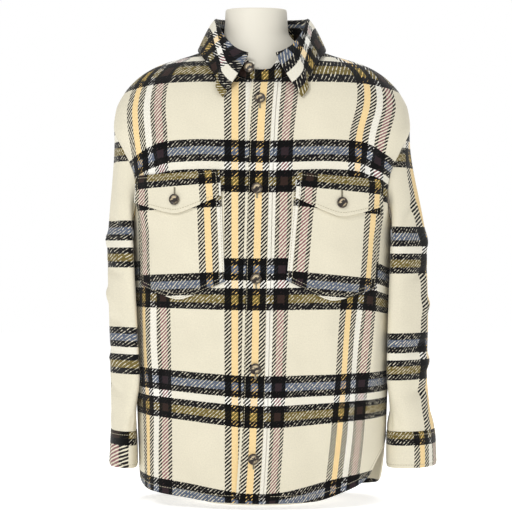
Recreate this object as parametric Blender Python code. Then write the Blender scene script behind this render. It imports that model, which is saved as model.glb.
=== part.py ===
# Plaid shirt jacket hanging filled out on a limbless dress form.
# Metres, +Z up. The front faces -Y and the viewer's right is +X. The form stands on Z = 0.
# Left and right in the names are the viewer's.
import math

import bpy
import numpy as np

# Cloth and seams
CLOTH = 0.0024              # wall of the brushed twill panels
SEAM_GAP = 0.0004           # pieces part by this at a seam
PLACKET_WALL = 0.0026       # buttonhole band, two layers pressed flat
POCKET_WALL = 0.0020
FLAP_WALL = 0.0024
CUFF_WALL = 0.0030
STAND_WALL = 0.0024
LEAF_WALL = 0.0026

# Front lap
PLACKET_WIDTH = 0.0425
LAP_GAP = 0.0006            # placket above the front that it laps over
UNDERLAP_SHORT = 0.006      # the under front ends this far before the placket's sewn edge
PANEL_STEP = 0.0012         # the right front rises by this beside the placket
STEP_FADE = 0.045

# Rows of the body
HEM_LEVEL = 0.010
HEM_BLEND = 0.160           # above this level the rows are level
ARMPIT_LEVEL = 0.445
TIP_LEVEL = 0.612           # dropped shoulder point
NECK_LEVEL = 0.742
HEM_ROWS = 4
WAIST_ROWS = (0.235, 0.305, 0.375)
ARMHOLE_STEPS = 10          # rows from the armpit to the shoulder point
SHOULDER_ROWS = (0.640, 0.668, 0.690, 0.705, 0.718, 0.730, NECK_LEVEL)
ARMHOLE_REACH = 0.062       # armhole edge in front of, and behind, the side line
FRONT_COLUMNS = 10
BACK_COLUMNS = 18
PLACKET_COLUMNS = 2

# Buttons
BUTTON_RADIUS = 0.0088
BUTTON_THICK = 0.0032
BUTTON_RIM = 0.0022
BUTTON_DISH = 0.66          # height of the sunk middle, a share of the thickness
BUTTON_SIDES = 16
BUTTON_SEAT = 0.0008
BUTTON_TOP = 0.650
BUTTON_PITCH = 0.1422
BUTTON_COUNT = 5
BUTTON_INSET = (0.0165, 0.0235)     # from the placket's free edge, top and bottom button
STAND_BUTTON = (-0.0212, 0.7030)    # across, height

# Pockets and flaps, laid out on the panel: across from the inner top corner, and down
POCKET_WIDTH = 0.151
POCKET_MOUTH = 0.013        # mouth below the flap's sewn edge
POCKET_SIDE = 0.176
POCKET_POINT = 0.2015
POCKET_LIFT = 0.0009
POCKET_COLUMNS = 10
POCKET_STEPS = 8
FLAP_WIDTH = 0.148
FLAP_SIDE = 0.046
FLAP_POINT = 0.067
FLAP_CLEAR = 0.0036         # flap above the panel where the pocket lies under it
FLAP_CURL = 0.0020          # more at its free edge
FLAP_RISE = 0.011           # it has risen over the pocket this far below its sewn edge
FLAP_SHARES = (0.42, 0.70, 1.0)     # further rows on the way to the free edge
FLAP_BUTTON_DOWN = 0.0445

# Sleeves and cuffs
SLEEVE_TURN = math.radians(95)      # how far the sleeve turns out of the body at the armpit
SLEEVE_ROUND = 2.3
SLEEVE_BEND = (0.030, 0.005)        # how far forward the lean starts, and its softness
SLEEVE_SAG = 0.45           # share of straight down in how its front and back leave the armhole
SLEEVE_LEAVE = (0.078, 0.008)       # length of the first handle at the shoulder point and armpit
SLEEVE_ARRIVE = (0.082, 0.022)      # and of the last one
SLEEVE_TOP_STEPS = (0.0, 0.10, 0.24, 0.42, 0.60, 0.80, 1.0)
SLEEVE_ROWS = (0.340, 0.285, 0.230, 0.175, 0.1175)
CUFF_ROWS = (0.1168, 0.0970, 0.0775, 0.0580)

# Collar
COLLAR_GAP = 0.0006         # stand above the neckline, and leaf above the stand
LEAF_STEPS = 7
LEAF_CROWD = 1.35           # the leaf's rows are closer in the roll
LEAF_ROLL = 0.033           # height of the roll's first handle
LEAF_FALL = 0.50            # place of the second handle on the way to the outer edge
LEAF_ARCH = 0.023           # and its height
LEAF_REST = 0.0032          # leaf above the shoulders at its outer edge
STAND_ENDS = (16.0, 344.0)  # turns where the leaf ends, in degrees; the stand goes on
STAND_END_COLUMNS = 4
STAND_COLUMNS = 26
STAND_STEPS = 2
STAND_TRIES = 60            # places tried along the stand's end for its button
FORM_COLUMNS = 24

# Colours seen on the object: base colour, roughness
CREAM = ((0.84, 0.80, 0.67), 0.92)
DARK_CHECK = ((0.16, 0.16, 0.19), 0.92)
BUTTON_HORN = ((0.13, 0.08, 0.04), 0.35)
FORM_IVORY = ((0.85, 0.81, 0.72), 0.55)


class Table:
    """Rows of named columns, read at any place by a smooth curve that never overshoots a row."""

    def __init__(self, columns, rows):
        self.place = np.array([row[0] for row in rows], float)
        self.values = {}
        for number, name in enumerate(columns):
            self.values[name] = np.array([row[number] for row in rows], float)

    def at(self, name, place):
        knots, heights = self.place, self.values[name]
        place = np.clip(np.asarray(place, float), knots[0], knots[-1])
        steps = np.diff(knots)
        rises = np.diff(heights) / steps
        slopes = np.zeros_like(heights)
        same = rises[:-1] * rises[1:] > 0
        both = np.where(same, rises[:-1] + rises[1:], 1.0)
        slopes[1:-1] = np.where(same, 2 * rises[:-1] * rises[1:] / both, 0.0)
        slopes[0], slopes[-1] = rises[0], rises[-1]
        span = np.clip(np.searchsorted(knots, place, side="right") - 1, 0, len(steps) - 1)
        width = steps[span]
        t = (place - knots[span]) / width
        return ((1 + 2 * t) * (1 - t) ** 2 * heights[span] + t * (1 - t) ** 2 * width * slopes[span]
                + t ** 2 * (3 - 2 * t) * heights[span + 1]
                + t ** 2 * (t - 1) * width * slopes[span + 1])


# Body of the jacket, a row for each level, which is the height of the side line there.
# The drops lower the centre front and back below the side; squareness 2 is an ellipse.
BODY = Table(
    ("level", "half_width", "front", "back", "front_drop", "back_drop", "squareness"),
    [(0.000, 0.2000, 0.126, 0.126, 0.000, 0.000, 2.35),
     (0.150, 0.2055, 0.127, 0.126, 0.000, 0.000, 2.35),
     (0.300, 0.2110, 0.127, 0.125, 0.000, 0.000, 2.35),
     (0.420, 0.2120, 0.126, 0.124, 0.000, 0.000, 2.40),
     (0.480, 0.2125, 0.125, 0.123, 0.001, 0.000, 2.55),
     (0.530, 0.2180, 0.124, 0.122, 0.004, 0.001, 2.70),
     (0.575, 0.2325, 0.121, 0.120, 0.010, 0.003, 2.85),
     (0.612, 0.2430, 0.117, 0.117, 0.017, 0.005, 3.00),
     (0.640, 0.2395, 0.113, 0.114, 0.024, 0.006, 3.00),
     (0.668, 0.2260, 0.109, 0.110, 0.031, 0.007, 2.90),
     (0.690, 0.2070, 0.105, 0.106, 0.038, 0.007, 2.80),
     (0.705, 0.1870, 0.101, 0.102, 0.044, 0.006, 2.70),
     (0.718, 0.1600, 0.097, 0.097, 0.050, 0.004, 2.50),
     (0.730, 0.1200, 0.092, 0.088, 0.056, 0.000, 2.35),
     (0.742, 0.0860, 0.087, 0.074, 0.062, -0.006, 2.20)])

# Soft folds of the body: turn from the centre front at the fold's top and foot, in degrees with
# the viewer's right positive, its spread, the levels where it starts and ends, and its height.
FOLDS = [
    # turn_top, turn_foot, spread, top, foot, height
    (-50, -57, 11, 0.34, -0.32, 0.0050),
    (-30, -33, 8, 0.28, -0.26, -0.0035),
    (44, 50, 11, 0.36, -0.34, 0.0050),
    (24, 27, 8, 0.28, -0.26, -0.0030),
    (116, 112, 12, 0.40, -0.38, 0.0060),
    (146, 150, 12, 0.44, -0.42, -0.0060),
    (-118, -114, 12, 0.42, -0.40, 0.0055),
    (-150, -146, 13, 0.40, -0.38, -0.0065),
]

# Shirt-tail hem: height on each side against the turn from the centre front
HEM = Table(
    ("turn", "left", "right"),
    [(0, 0.0100, 0.0100), (20, 0.0125, 0.0120), (38, 0.0190, 0.0280), (54, 0.0240, 0.0490),
     (64, 0.0265, 0.0720), (77, 0.0350, 0.0940), (90, 0.0560, 0.1050), (97, 0.0420, 0.0600),
     (105, 0.0270, 0.0300), (114, 0.0190, 0.0200), (140, 0.0130, 0.0130), (180, 0.0100, 0.0100)])

# Free edge of the placket, which leans to the viewer's left on its way down
PLACKET_EDGE = Table(
    ("level", "across"),
    [(0.010, -0.0420), (0.126, -0.0351), (0.410, -0.0288), (0.600, -0.0241), (0.742, -0.0169)])

# Where each pocket and its flap hang: how far out their inner top corners lie, and for each the
# level of that corner and how far the outer end tips down
POCKETS = {
    "left": {"across": 0.0660, "pocket": (0.5365, math.radians(2.2)), "flap": (0.5401, math.radians(4.1))},
    "right": {"across": 0.0541, "pocket": (0.5380, math.radians(5.2)), "flap": (0.5380, math.radians(5.2))},
}

# Toe turns a whole ring; lean bends the part of it in front of the bend in towards the body
SLEEVE_COLUMNS = ("height", "inner", "outer", "front", "back", "toe", "lean")
SLEEVES = {
    "left": Table(SLEEVE_COLUMNS, [
        (0.0550, 0.2056, 0.2515, -0.058, 0.056, 0.10, 0.20), (0.1170, 0.2070, 0.2488, -0.060, 0.058, 0.10, 0.20),
        (0.1500, 0.2095, 0.2490, -0.067, 0.068, 0.10, 0.30), (0.2080, 0.2125, 0.2502, -0.073, 0.078, 0.10, 0.40),
        (0.2850, 0.2140, 0.2518, -0.074, 0.083, 0.06, 0.38), (0.3950, 0.2145, 0.2546, -0.072, 0.084, 0.02, 0.36)]),
    "right": Table(SLEEVE_COLUMNS, [
        (0.0550, 0.2070, 0.2870, -0.060, 0.050, 0.20, 0.15), (0.1170, 0.2075, 0.2840, -0.062, 0.052, 0.20, 0.15),
        (0.1500, 0.2110, 0.2770, -0.067, 0.066, 0.13, 0.32), (0.2150, 0.2140, 0.2722, -0.072, 0.076, 0.10, 0.52),
        (0.2850, 0.2150, 0.2738, -0.074, 0.082, 0.07, 0.52), (0.3950, 0.2150, 0.2718, -0.073, 0.084, 0.03, 0.50)]),
}

# Collar stand, against the turn from the centre front round by the viewer's right
STAND = Table(
    ("turn", "height", "lean"),
    [(-6.7, 0.0190, 0.0020), (7, 0.0200, 0.0030), (16, 0.0310, 0.0045), (45, 0.0330, 0.0080),
     (90, 0.0360, 0.0110), (180, 0.0370, 0.0090), (270, 0.0360, 0.0110), (315, 0.0330, 0.0080),
     (344, 0.0310, 0.0045), (352.9, 0.0310, 0.0030)])

# Outer edge of the collar leaf, laid out on the body: turn there and level, by share of the way
LEAF_EDGE = Table(
    ("share", "turn", "level"),
    [(0.00, 12.0, 0.6975), (0.08, 18, 0.7125), (0.16, 27, 0.7245), (0.28, 43, 0.7320),
     (0.40, 62, 0.7353), (0.52, 86, 0.7357), (0.74, 131, 0.7313), (1.00, 180, 0.7270)])

# Dress form: half width, depths, drops of the front and back, and shift of the neck to the left
FORM = Table(
    ("height", "half_width", "front", "back", "front_drop", "back_drop", "shift", "squareness"),
    [(0.0000, 0.0940, 0.0740, 0.0760, 0.000, 0.000, -0.0040, 2.1),
     (0.0060, 0.1000, 0.0790, 0.0810, 0.000, 0.000, -0.0040, 2.1),
     (0.0600, 0.1300, 0.0940, 0.0980, 0.000, 0.000, -0.0040, 2.1),
     (0.1300, 0.1530, 0.1020, 0.1060, 0.000, 0.000, -0.0040, 2.1),
     (0.2300, 0.1470, 0.0960, 0.0970, 0.000, 0.000, -0.0040, 2.1),
     (0.3300, 0.1400, 0.0930, 0.0900, 0.000, 0.000, -0.0040, 2.1),
     (0.4500, 0.1560, 0.1030, 0.0980, 0.000, 0.000, -0.0030, 2.2),
     (0.5400, 0.1680, 0.1050, 0.1020, 0.006, 0.003, -0.0020, 2.3),
     (0.6200, 0.1820, 0.1000, 0.1000, 0.020, 0.008, 0.0000, 2.6),
     (0.6700, 0.1900, 0.0960, 0.0960, 0.034, 0.010, 0.0000, 2.7),
     (0.7019, 0.1850, 0.0925, 0.0930, 0.046, 0.010, 0.0000, 2.7),
     (0.7149, 0.1580, 0.0885, 0.0880, 0.052, 0.008, 0.0000, 2.5),
     (0.7268, 0.1180, 0.0835, 0.0790, 0.058, 0.004, 0.0000, 2.3),
     (0.7386, 0.0830, 0.0765, 0.0640, 0.060, 0.000, -0.0020, 2.2),
     (0.7520, 0.0640, 0.0640, 0.0580, 0.032, 0.000, -0.0070, 2.1),
     (0.7700, 0.0530, 0.0560, 0.0540, 0.008, 0.000, -0.0095, 2.0),
     (0.8065, 0.0505, 0.0530, 0.0530, 0.003, -0.002, -0.0095, 2.0)])

DROP_SHAPE = 1.5            # how the drop of a row fades from the centre to the side
DENSE_TURNS = np.linspace(-math.pi, math.pi, 1441)
STEP_TURN = 0.01            # radians and metres to each side when a normal is worked out
STEP_LEVEL = 0.002
SHARP_EDGE = math.radians(40)


def oval(turn, half_width, front, back, squareness):
    """A point on a squared oval; turn 0 is the centre front and a quarter turn the right side."""
    power = 2.0 / squareness
    across = half_width * np.sign(np.sin(turn)) * np.abs(np.sin(turn)) ** power
    depth = np.where(np.cos(turn) > 0, front, back)
    return across, -depth * np.sign(np.cos(turn)) * np.abs(np.cos(turn)) ** power


def fold_height(turn, level):
    """Sum of the folds, each a soft ridge or trough that rises and dies away along its length."""
    total = np.zeros(np.broadcast(turn, level).shape)
    for turn_top, turn_foot, spread, top, foot, height in FOLDS:
        along = np.clip((top - level) / (top - foot), 0.0, 1.0)
        centre = np.radians(turn_top + (turn_foot - turn_top) * along)
        across = (turn - centre) / math.radians(spread)
        total = total + height * np.sin(math.pi * along) ** 2 * np.exp(-across ** 2)
    return total


def body_point(turn, level):
    """Outer face of the body at a turn and a level."""
    turn, level = np.broadcast_arrays(np.asarray(turn, float), np.asarray(level, float))
    half_width, front, back = (BODY.at(name, level) for name in ("half_width", "front", "back"))
    across, depth = oval(turn, half_width, front, back, BODY.at("squareness", level))
    drop = np.where(np.cos(turn) > 0, BODY.at("front_drop", level), BODY.at("back_drop", level))
    height = level - drop * np.abs(np.cos(turn)) ** DROP_SHAPE
    fold = fold_height(turn, level)
    return np.stack([across + fold * np.sin(turn), depth - fold * np.cos(turn), height], axis=-1)


def unit(vectors):
    return vectors / np.linalg.norm(vectors, axis=-1, keepdims=True)


def body_normal(turn, level):
    """Outward normal of the body, from points a little to each side."""
    low = np.maximum(level - STEP_LEVEL, 0.0)
    high = np.minimum(level + STEP_LEVEL, NECK_LEVEL)
    around = body_point(turn + STEP_TURN, level) - body_point(turn - STEP_TURN, level)
    upward = body_point(turn, high) - body_point(turn, low)
    return unit(np.cross(around, upward))


def girth(level):
    """Distance round the body at a level, from the centre front, for each of the dense turns."""
    points = body_point(DENSE_TURNS, level)
    lengths = np.concatenate([[0.0], np.cumsum(np.linalg.norm(np.diff(points, axis=0), axis=1))])
    return lengths - lengths[len(lengths) // 2]


def turn_at(level, distance):
    """Turn at a distance round; distances past the centre back go on round the other side."""
    lengths = girth(level)
    past = np.asarray(distance) > lengths[-1]
    return np.interp(np.where(past, distance - lengths[-1] + lengths[0], distance), lengths, DENSE_TURNS)


def distance_at(level, turn):
    return np.interp(turn, DENSE_TURNS, girth(level))


def distance_at_across(level, across):
    """Distance round the front at which the body is this far across."""
    front = np.abs(DENSE_TURNS) <= math.pi / 2
    turns = DENSE_TURNS[front]
    return np.interp(across, body_point(turns, level)[:, 0], girth(level)[front])


def body_rows():
    """Levels of the rows from hem to neck; the armhole's rows are those of the sleeve's ring."""
    hem = np.linspace(HEM_LEVEL, HEM_BLEND, HEM_ROWS + 1)
    middle = (ARMPIT_LEVEL + TIP_LEVEL) / 2
    half = (TIP_LEVEL - ARMPIT_LEVEL) / 2
    armhole = middle - half * np.cos(np.linspace(0, math.pi, ARMHOLE_STEPS + 1))
    return np.concatenate([hem, WAIST_ROWS, armhole, SHOULDER_ROWS])


def armhole_reach(level):
    """How far the armhole's edge lies from the side line at a level: half an ellipse."""
    middle = (ARMPIT_LEVEL + TIP_LEVEL) / 2
    half = (TIP_LEVEL - ARMPIT_LEVEL) / 2
    share = np.clip((level - middle) / half, -1.0, 1.0)
    return ARMHOLE_REACH * math.sqrt(max(0.0, 1.0 - share ** 2))


def hem_level(turn):
    side = np.degrees(np.abs(turn))
    return np.where(turn < 0, HEM.at("left", side), HEM.at("right", side))


def panel_grid(start, end, columns, lift=None, wall=CLOTH):
    """Outer and inner points of a panel between two edges, each a distance round for a level."""
    outer, inner = [], []
    for level in body_rows():
        distance = np.linspace(start(level), end(level), columns + 1)
        turn = turn_at(level, distance)
        hem = hem_level(turn)
        hem_share = (level - HEM_LEVEL) / (HEM_BLEND - HEM_LEVEL)
        levels = hem + (HEM_BLEND - hem) * hem_share if hem_share < 1 else np.full(turn.shape, level)
        normal = body_normal(turn, levels)
        points = body_point(turn, levels)
        if lift is not None:
            points = points + normal * lift(distance, level)[:, None]
        outer.append(points)
        inner.append(points - normal * wall)
    return np.array(outer), np.array(inner)


def side_distance(level, side):
    return distance_at(level, side * math.pi / 2)


def armhole_edge(level, side, ahead):
    """Edge of a panel at the side seam, armhole and shoulder seam; ahead is 1 in front."""
    return side_distance(level, side) - side * ahead * (armhole_reach(level) + SEAM_GAP / 2)


def placket_left(level):
    return distance_at_across(level, PLACKET_EDGE.at("across", level))


def placket_right(level):
    return placket_left(level) + PLACKET_WIDTH


def make_material(name, finish):
    colour, roughness = finish
    material = bpy.data.materials.new(name)
    material.use_nodes = True
    shader = material.node_tree.nodes["Principled BSDF"]
    shader.inputs["Base Color"].default_value = (*colour, 1.0)
    shader.inputs["Roughness"].default_value = roughness
    shader.inputs["Metallic"].default_value = 0.0
    return material


def mesh_object(name, points, faces, finish):
    mesh = bpy.data.meshes.new(name)
    mesh.from_pydata([tuple(point) for point in points], [], faces)
    mesh.validate()
    mesh.update()
    mesh.shade_smooth()
    mesh.set_sharp_from_angle(angle=SHARP_EDGE)
    mesh.materials.append(make_material(name, finish))
    thing = bpy.data.objects.new(name, mesh)
    bpy.context.scene.collection.objects.link(thing)
    thing.parent = bpy.data.objects["jacket_on_form"]
    return thing


def wall_object(name, outer, inner, finish, closed=False):
    """A closed wall between two grids of points; a closed one joins its last column to its first."""
    rows, columns = outer.shape[:2]
    count = rows * columns
    points = np.concatenate([outer.reshape(-1, 3), inner.reshape(-1, 3)])
    faces = []
    spans = columns if closed else columns - 1
    for row in range(rows - 1):
        for column in range(spans):
            beside = (column + 1) % columns
            corners = (row * columns + column, row * columns + beside,
                       (row + 1) * columns + beside, (row + 1) * columns + column)
            faces.append(corners)
            faces.append(tuple(count + corner for corner in reversed(corners)))
    for column in range(spans):
        beside = (column + 1) % columns
        top = (rows - 1) * columns
        faces.append((beside, column, count + column, count + beside))
        faces.append((top + column, top + beside, count + top + beside, count + top + column))
    if not closed:
        for row in range(rows - 1):
            first, above = row * columns, (row + 1) * columns
            last, last_above = first + columns - 1, above + columns - 1
            faces.append((first, above, count + above, count + first))
            faces.append((last_above, last, count + last, count + last_above))
    if not faces_point_out(outer, inner):
        faces = [tuple(reversed(face)) for face in faces]
    return mesh_object(name, points, faces, finish)


def faces_point_out(outer, inner):
    """Whether the grid's first direction crossed into its second leaves the wall."""
    along = outer[:-1, 1:] - outer[:-1, :-1]
    up = outer[1:, :-1] - outer[:-1, :-1]
    out = outer[:-1, :-1] - inner[:-1, :-1]
    return np.sum(np.cross(along, up) * out) > 0


def make_fronts():
    def left_start(level):
        return armhole_edge(level, -1, 1)

    def left_end(level):
        return placket_right(level) - UNDERLAP_SHORT

    def right_start(level):
        return placket_right(level) + SEAM_GAP

    def right_end(level):
        return armhole_edge(level, 1, 1)

    def beside_placket(distance, level):
        share = np.clip((distance - right_start(level)) / STEP_FADE, 0.0, 1.0)
        return PANEL_STEP * (1.0 - share) ** 2

    def over_underlap(distance, level):
        return np.full(distance.shape, LAP_GAP + PLACKET_WALL)

    wall_object("front_left", *panel_grid(left_start, left_end, FRONT_COLUMNS), CREAM)
    wall_object("front_right", *panel_grid(right_start, right_end, FRONT_COLUMNS, beside_placket), CREAM)
    band = panel_grid(placket_left, placket_right, PLACKET_COLUMNS, over_underlap, PLACKET_WALL)
    wall_object("front_placket", *band, DARK_CHECK)


def make_back():
    def start(level):
        return armhole_edge(level, 1, -1)

    def end(level):
        lengths = girth(level)
        return armhole_edge(level, -1, -1) + lengths[-1] - lengths[0]

    wall_object("back", *panel_grid(start, end, BACK_COLUMNS), CREAM)


def sleeve_ring(side, table, height, round_turns):
    """One ring of a sleeve; round turn 0 is its outer side, a quarter its front."""
    sign = 1 if side == "right" else -1
    inner, outer = table.at("inner", height), table.at("outer", height)
    front, back, toe = table.at("front", height), table.at("back", height), table.at("toe", height)
    power = 2.0 / SLEEVE_ROUND
    wave = np.sign(np.cos(round_turns)) * np.abs(np.cos(round_turns)) ** power
    sweep = np.sign(np.sin(round_turns)) * np.abs(np.sin(round_turns)) ** power
    depth = np.where(sweep > 0, front * sweep, -back * sweep)
    ahead = -depth - SLEEVE_BEND[0]
    bent = (ahead + np.sqrt(ahead ** 2 + SLEEVE_BEND[1] ** 2)) / 2
    across = (inner + outer) / 2 + (outer - inner) / 2 * wave + toe * depth - table.at("lean", height) * bent
    return np.stack([sign * across, depth, np.full(depth.shape, float(height))], axis=-1)


def grid_normals(points):
    """Normals of a grid that is closed along its columns."""
    around = np.roll(points, -1, axis=1) - np.roll(points, 1, axis=1)
    along = np.gradient(points, axis=0)
    return unit(np.cross(around, along))


def make_sleeve(side):
    sign = 1 if side == "right" else -1
    table = SLEEVES[side]
    count = 2 * ARMHOLE_STEPS
    round_turns = np.linspace(0, 2 * math.pi, count, endpoint=False)
    middle = (ARMPIT_LEVEL + TIP_LEVEL) / 2
    half = (TIP_LEVEL - ARMPIT_LEVEL) / 2
    levels = middle + half * np.cos(round_turns)
    edge, out = [], []
    for level, round_turn in zip(levels, round_turns):
        reach = ARMHOLE_REACH * math.sin(round_turn)
        turn = turn_at(level, side_distance(level, sign) - sign * reach)
        edge.append(body_point(turn, level))
        out.append(body_normal(turn, level))
    edge, out = np.array(edge), np.array(out)
    along = unit(np.roll(edge, -1, axis=0) - np.roll(edge, 1, axis=0))
    into = unit(np.cross(out, along))
    centre = edge.mean(axis=0)
    into = into * np.sign(np.sum(into * (centre - edge), axis=1))[:, None]

    # The sleeve runs straight on from the shoulder and turns out of the body towards the armpit
    turned = SLEEVE_TURN * (1 - np.cos(round_turns)) / 2
    leave = np.cos(turned)[:, None] * into + np.sin(turned)[:, None] * out
    start = edge + SEAM_GAP * leave
    under = (1 - np.cos(round_turns)) / 2
    sag = SLEEVE_SAG * np.sin(round_turns) ** 2
    leave = unit(leave * (1 - sag)[:, None] + np.array([0, 0, -1.0]) * sag[:, None])
    first_handle = SLEEVE_LEAVE[1] + (SLEEVE_LEAVE[0] - SLEEVE_LEAVE[1]) * (1 - under) ** 2
    last_handle = SLEEVE_ARRIVE[1] + (SLEEVE_ARRIVE[0] - SLEEVE_ARRIVE[1]) * (1 - under)
    finish = sleeve_ring(side, table, table.place[-1], round_turns)
    up = np.array([0, 0, 1.0])
    rings = []
    for share in SLEEVE_TOP_STEPS:
        rest = 1 - share
        rings.append(rest ** 3 * start + 3 * rest ** 2 * share * (start + first_handle[:, None] * leave)
                     + 3 * rest * share ** 2 * (finish + last_handle[:, None] * up) + share ** 3 * finish)
    for height in SLEEVE_ROWS:
        rings.append(sleeve_ring(side, table, height, round_turns))
    outer = np.array(rings)
    normals = grid_normals(outer)
    if np.sum(normals[-1] * (outer[-1] - outer[-1].mean(axis=0))) < 0:
        normals = -normals
    wall_object("sleeve_" + side, outer, outer - normals * CLOTH, CREAM, closed=True)

    band = np.array([sleeve_ring(side, table, height, round_turns) for height in CUFF_ROWS])
    level_normals = unit(grid_normals(band) * np.array([1.0, 1.0, 0.0]))
    if np.sum(level_normals * (band - band.mean(axis=1, keepdims=True))) < 0:
        level_normals = -level_normals
    proud = (CUFF_WALL - CLOTH) / 2
    band = band + level_normals * proud
    wall_object("cuff_" + side, band, band - level_normals * CUFF_WALL, DARK_CHECK, closed=True)


def stand_lines(turns_degrees):
    """Foot, top and level outward direction of the collar stand's outer face."""
    turns = np.radians(np.where(turns_degrees > 180, turns_degrees - 360, turns_degrees))
    normal = body_normal(turns, np.full(turns.shape, NECK_LEVEL))
    foot = body_point(turns, np.full(turns.shape, NECK_LEVEL))
    ahead = body_point(turns + STEP_TURN, np.full(turns.shape, NECK_LEVEL)) - foot
    up_slope = unit(np.cross(normal, unit(ahead)))
    up_slope = up_slope * np.sign(up_slope[:, 2:3])
    outward = unit(np.stack([ahead[:, 1], -ahead[:, 0], np.zeros(len(ahead))], axis=-1))
    foot = foot + up_slope * COLLAR_GAP
    rise = STAND.at("height", turns_degrees)[:, None] * np.array([0, 0, 1.0])
    top = foot + rise - outward * STAND.at("lean", turns_degrees)[:, None]
    return foot, top, outward


def make_collar():
    ends = STAND.place
    turns = np.concatenate([
        np.linspace(ends[0], STAND_ENDS[0], STAND_END_COLUMNS + 1)[:-1],
        np.linspace(STAND_ENDS[0], STAND_ENDS[1], STAND_COLUMNS + 1)[:-1],
        np.linspace(STAND_ENDS[1], ends[-1], STAND_END_COLUMNS + 1)])
    foot, top, outward = stand_lines(turns)
    shares = np.linspace(0, 1, STAND_STEPS + 1)[:, None, None]
    outer = foot * (1 - shares) + top * shares
    inner = outer - outward * STAND_WALL
    wall_object("collar_stand", outer, inner, DARK_CHECK)

    # The leaf starts on the stand's top edge, rolls over and falls to its edge on the shoulders
    base_turns = np.linspace(STAND_ENDS[0], STAND_ENDS[1], STAND_COLUMNS + 1)
    both = 1 - np.abs(base_turns - 180) / (180 - STAND_ENDS[0])
    sign = np.where(base_turns <= 180, 1, -1)
    foot, top, outward = stand_lines(base_turns)
    start = top - outward * STAND_WALL + np.array([0, 0, COLLAR_GAP])
    edge_turn = sign * np.radians(LEAF_EDGE.at("turn", both))
    edge_level = LEAF_EDGE.at("level", both)
    edge_normal = body_normal(edge_turn, edge_level)
    edge = body_point(edge_turn, edge_level) + edge_normal * (LEAF_WALL + LEAF_REST)
    up = np.array([0, 0, 1.0])
    first = start + up * LEAF_ROLL
    second = start + (edge - start) * LEAF_FALL + up * LEAF_ARCH
    rows = []
    for step in np.linspace(0, 1, LEAF_STEPS + 1) ** LEAF_CROWD:
        rest = 1 - step
        rows.append(rest ** 3 * start + 3 * rest ** 2 * step * first
                    + 3 * rest * step ** 2 * second + step ** 3 * edge)
    outer = np.array(rows)
    around = np.gradient(outer, axis=1)
    along = np.gradient(outer, axis=0)
    normals = unit(np.cross(around, along))
    if np.sum(normals[-1] * edge_normal) < 0:
        normals = -normals
    wall_object("collar_leaf", outer, outer - normals * LEAF_WALL, DARK_CHECK)


def on_panel(side, piece, across, down, lift):
    """A point of a pocket or flap: across and down from its corner, lifted off the panel."""
    sign = 1 if side == "right" else -1
    corner, (top, tilt) = POCKETS[side]["across"], POCKETS[side][piece]
    points, normals = np.zeros(across.shape + (3,)), np.zeros(across.shape + (3,))
    for place in np.ndindex(across.shape):
        level = top - across[place] * math.sin(tilt) - down[place] * math.cos(tilt)
        distance = corner + across[place] * math.cos(tilt) - down[place] * math.sin(tilt)
        turn = turn_at(level, sign * distance)
        normals[place] = body_normal(turn, level)
        points[place] = body_point(turn, level) + normals[place] * lift[place]
    return points, normals


def pointed_edge(across, width, side_length, point_length):
    """Lower edge that falls straight from both sides to a point in the middle."""
    return point_length - (point_length - side_length) * np.abs(2 * across / width - 1)


def make_pocket(side):
    across = np.linspace(0, POCKET_WIDTH, POCKET_COLUMNS + 1)
    bottom = pointed_edge(across, POCKET_WIDTH, POCKET_SIDE, POCKET_POINT)
    shares = np.linspace(0, 1, POCKET_STEPS + 1)[:, None]
    down = POCKET_MOUTH + (bottom - POCKET_MOUTH) * shares
    wide = np.broadcast_to(across, down.shape)
    lift = np.full(down.shape, POCKET_LIFT + POCKET_WALL)
    outer, normals = on_panel(side, "pocket", wide, down, lift)
    wall_object("pocket_" + side, outer, outer - normals * POCKET_WALL, CREAM)


def flap_lift(down, bottom):
    rise = np.clip(down / FLAP_RISE, 0.0, 1.0)
    free = np.clip((down - POCKET_MOUTH) / (bottom - POCKET_MOUTH), 0.0, 1.0)
    return POCKET_LIFT + (FLAP_CLEAR - POCKET_LIFT) * rise + FLAP_CURL * free ** 2 + FLAP_WALL


def make_flap(side):
    inset = (POCKET_WIDTH - FLAP_WIDTH) / 2
    across = np.linspace(0, FLAP_WIDTH, POCKET_COLUMNS + 1)
    bottom = pointed_edge(across, FLAP_WIDTH, FLAP_SIDE, FLAP_POINT)
    down = np.stack([0 * bottom, 0 * bottom + FLAP_RISE] + [bottom * share for share in FLAP_SHARES])
    wide = np.broadcast_to(across + inset, down.shape)
    outer, normals = on_panel(side, "flap", wide, down, flap_lift(down, bottom))
    wall_object("flap_" + side, outer, outer - normals * FLAP_WALL, CREAM)

    middle = np.array([inset + FLAP_WIDTH / 2])
    spot = np.array([FLAP_BUTTON_DOWN])
    seat, normal = on_panel(side, "flap", middle, spot, flap_lift(spot, FLAP_POINT))
    make_button("button_flap_" + side, seat[0], normal[0])


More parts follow.
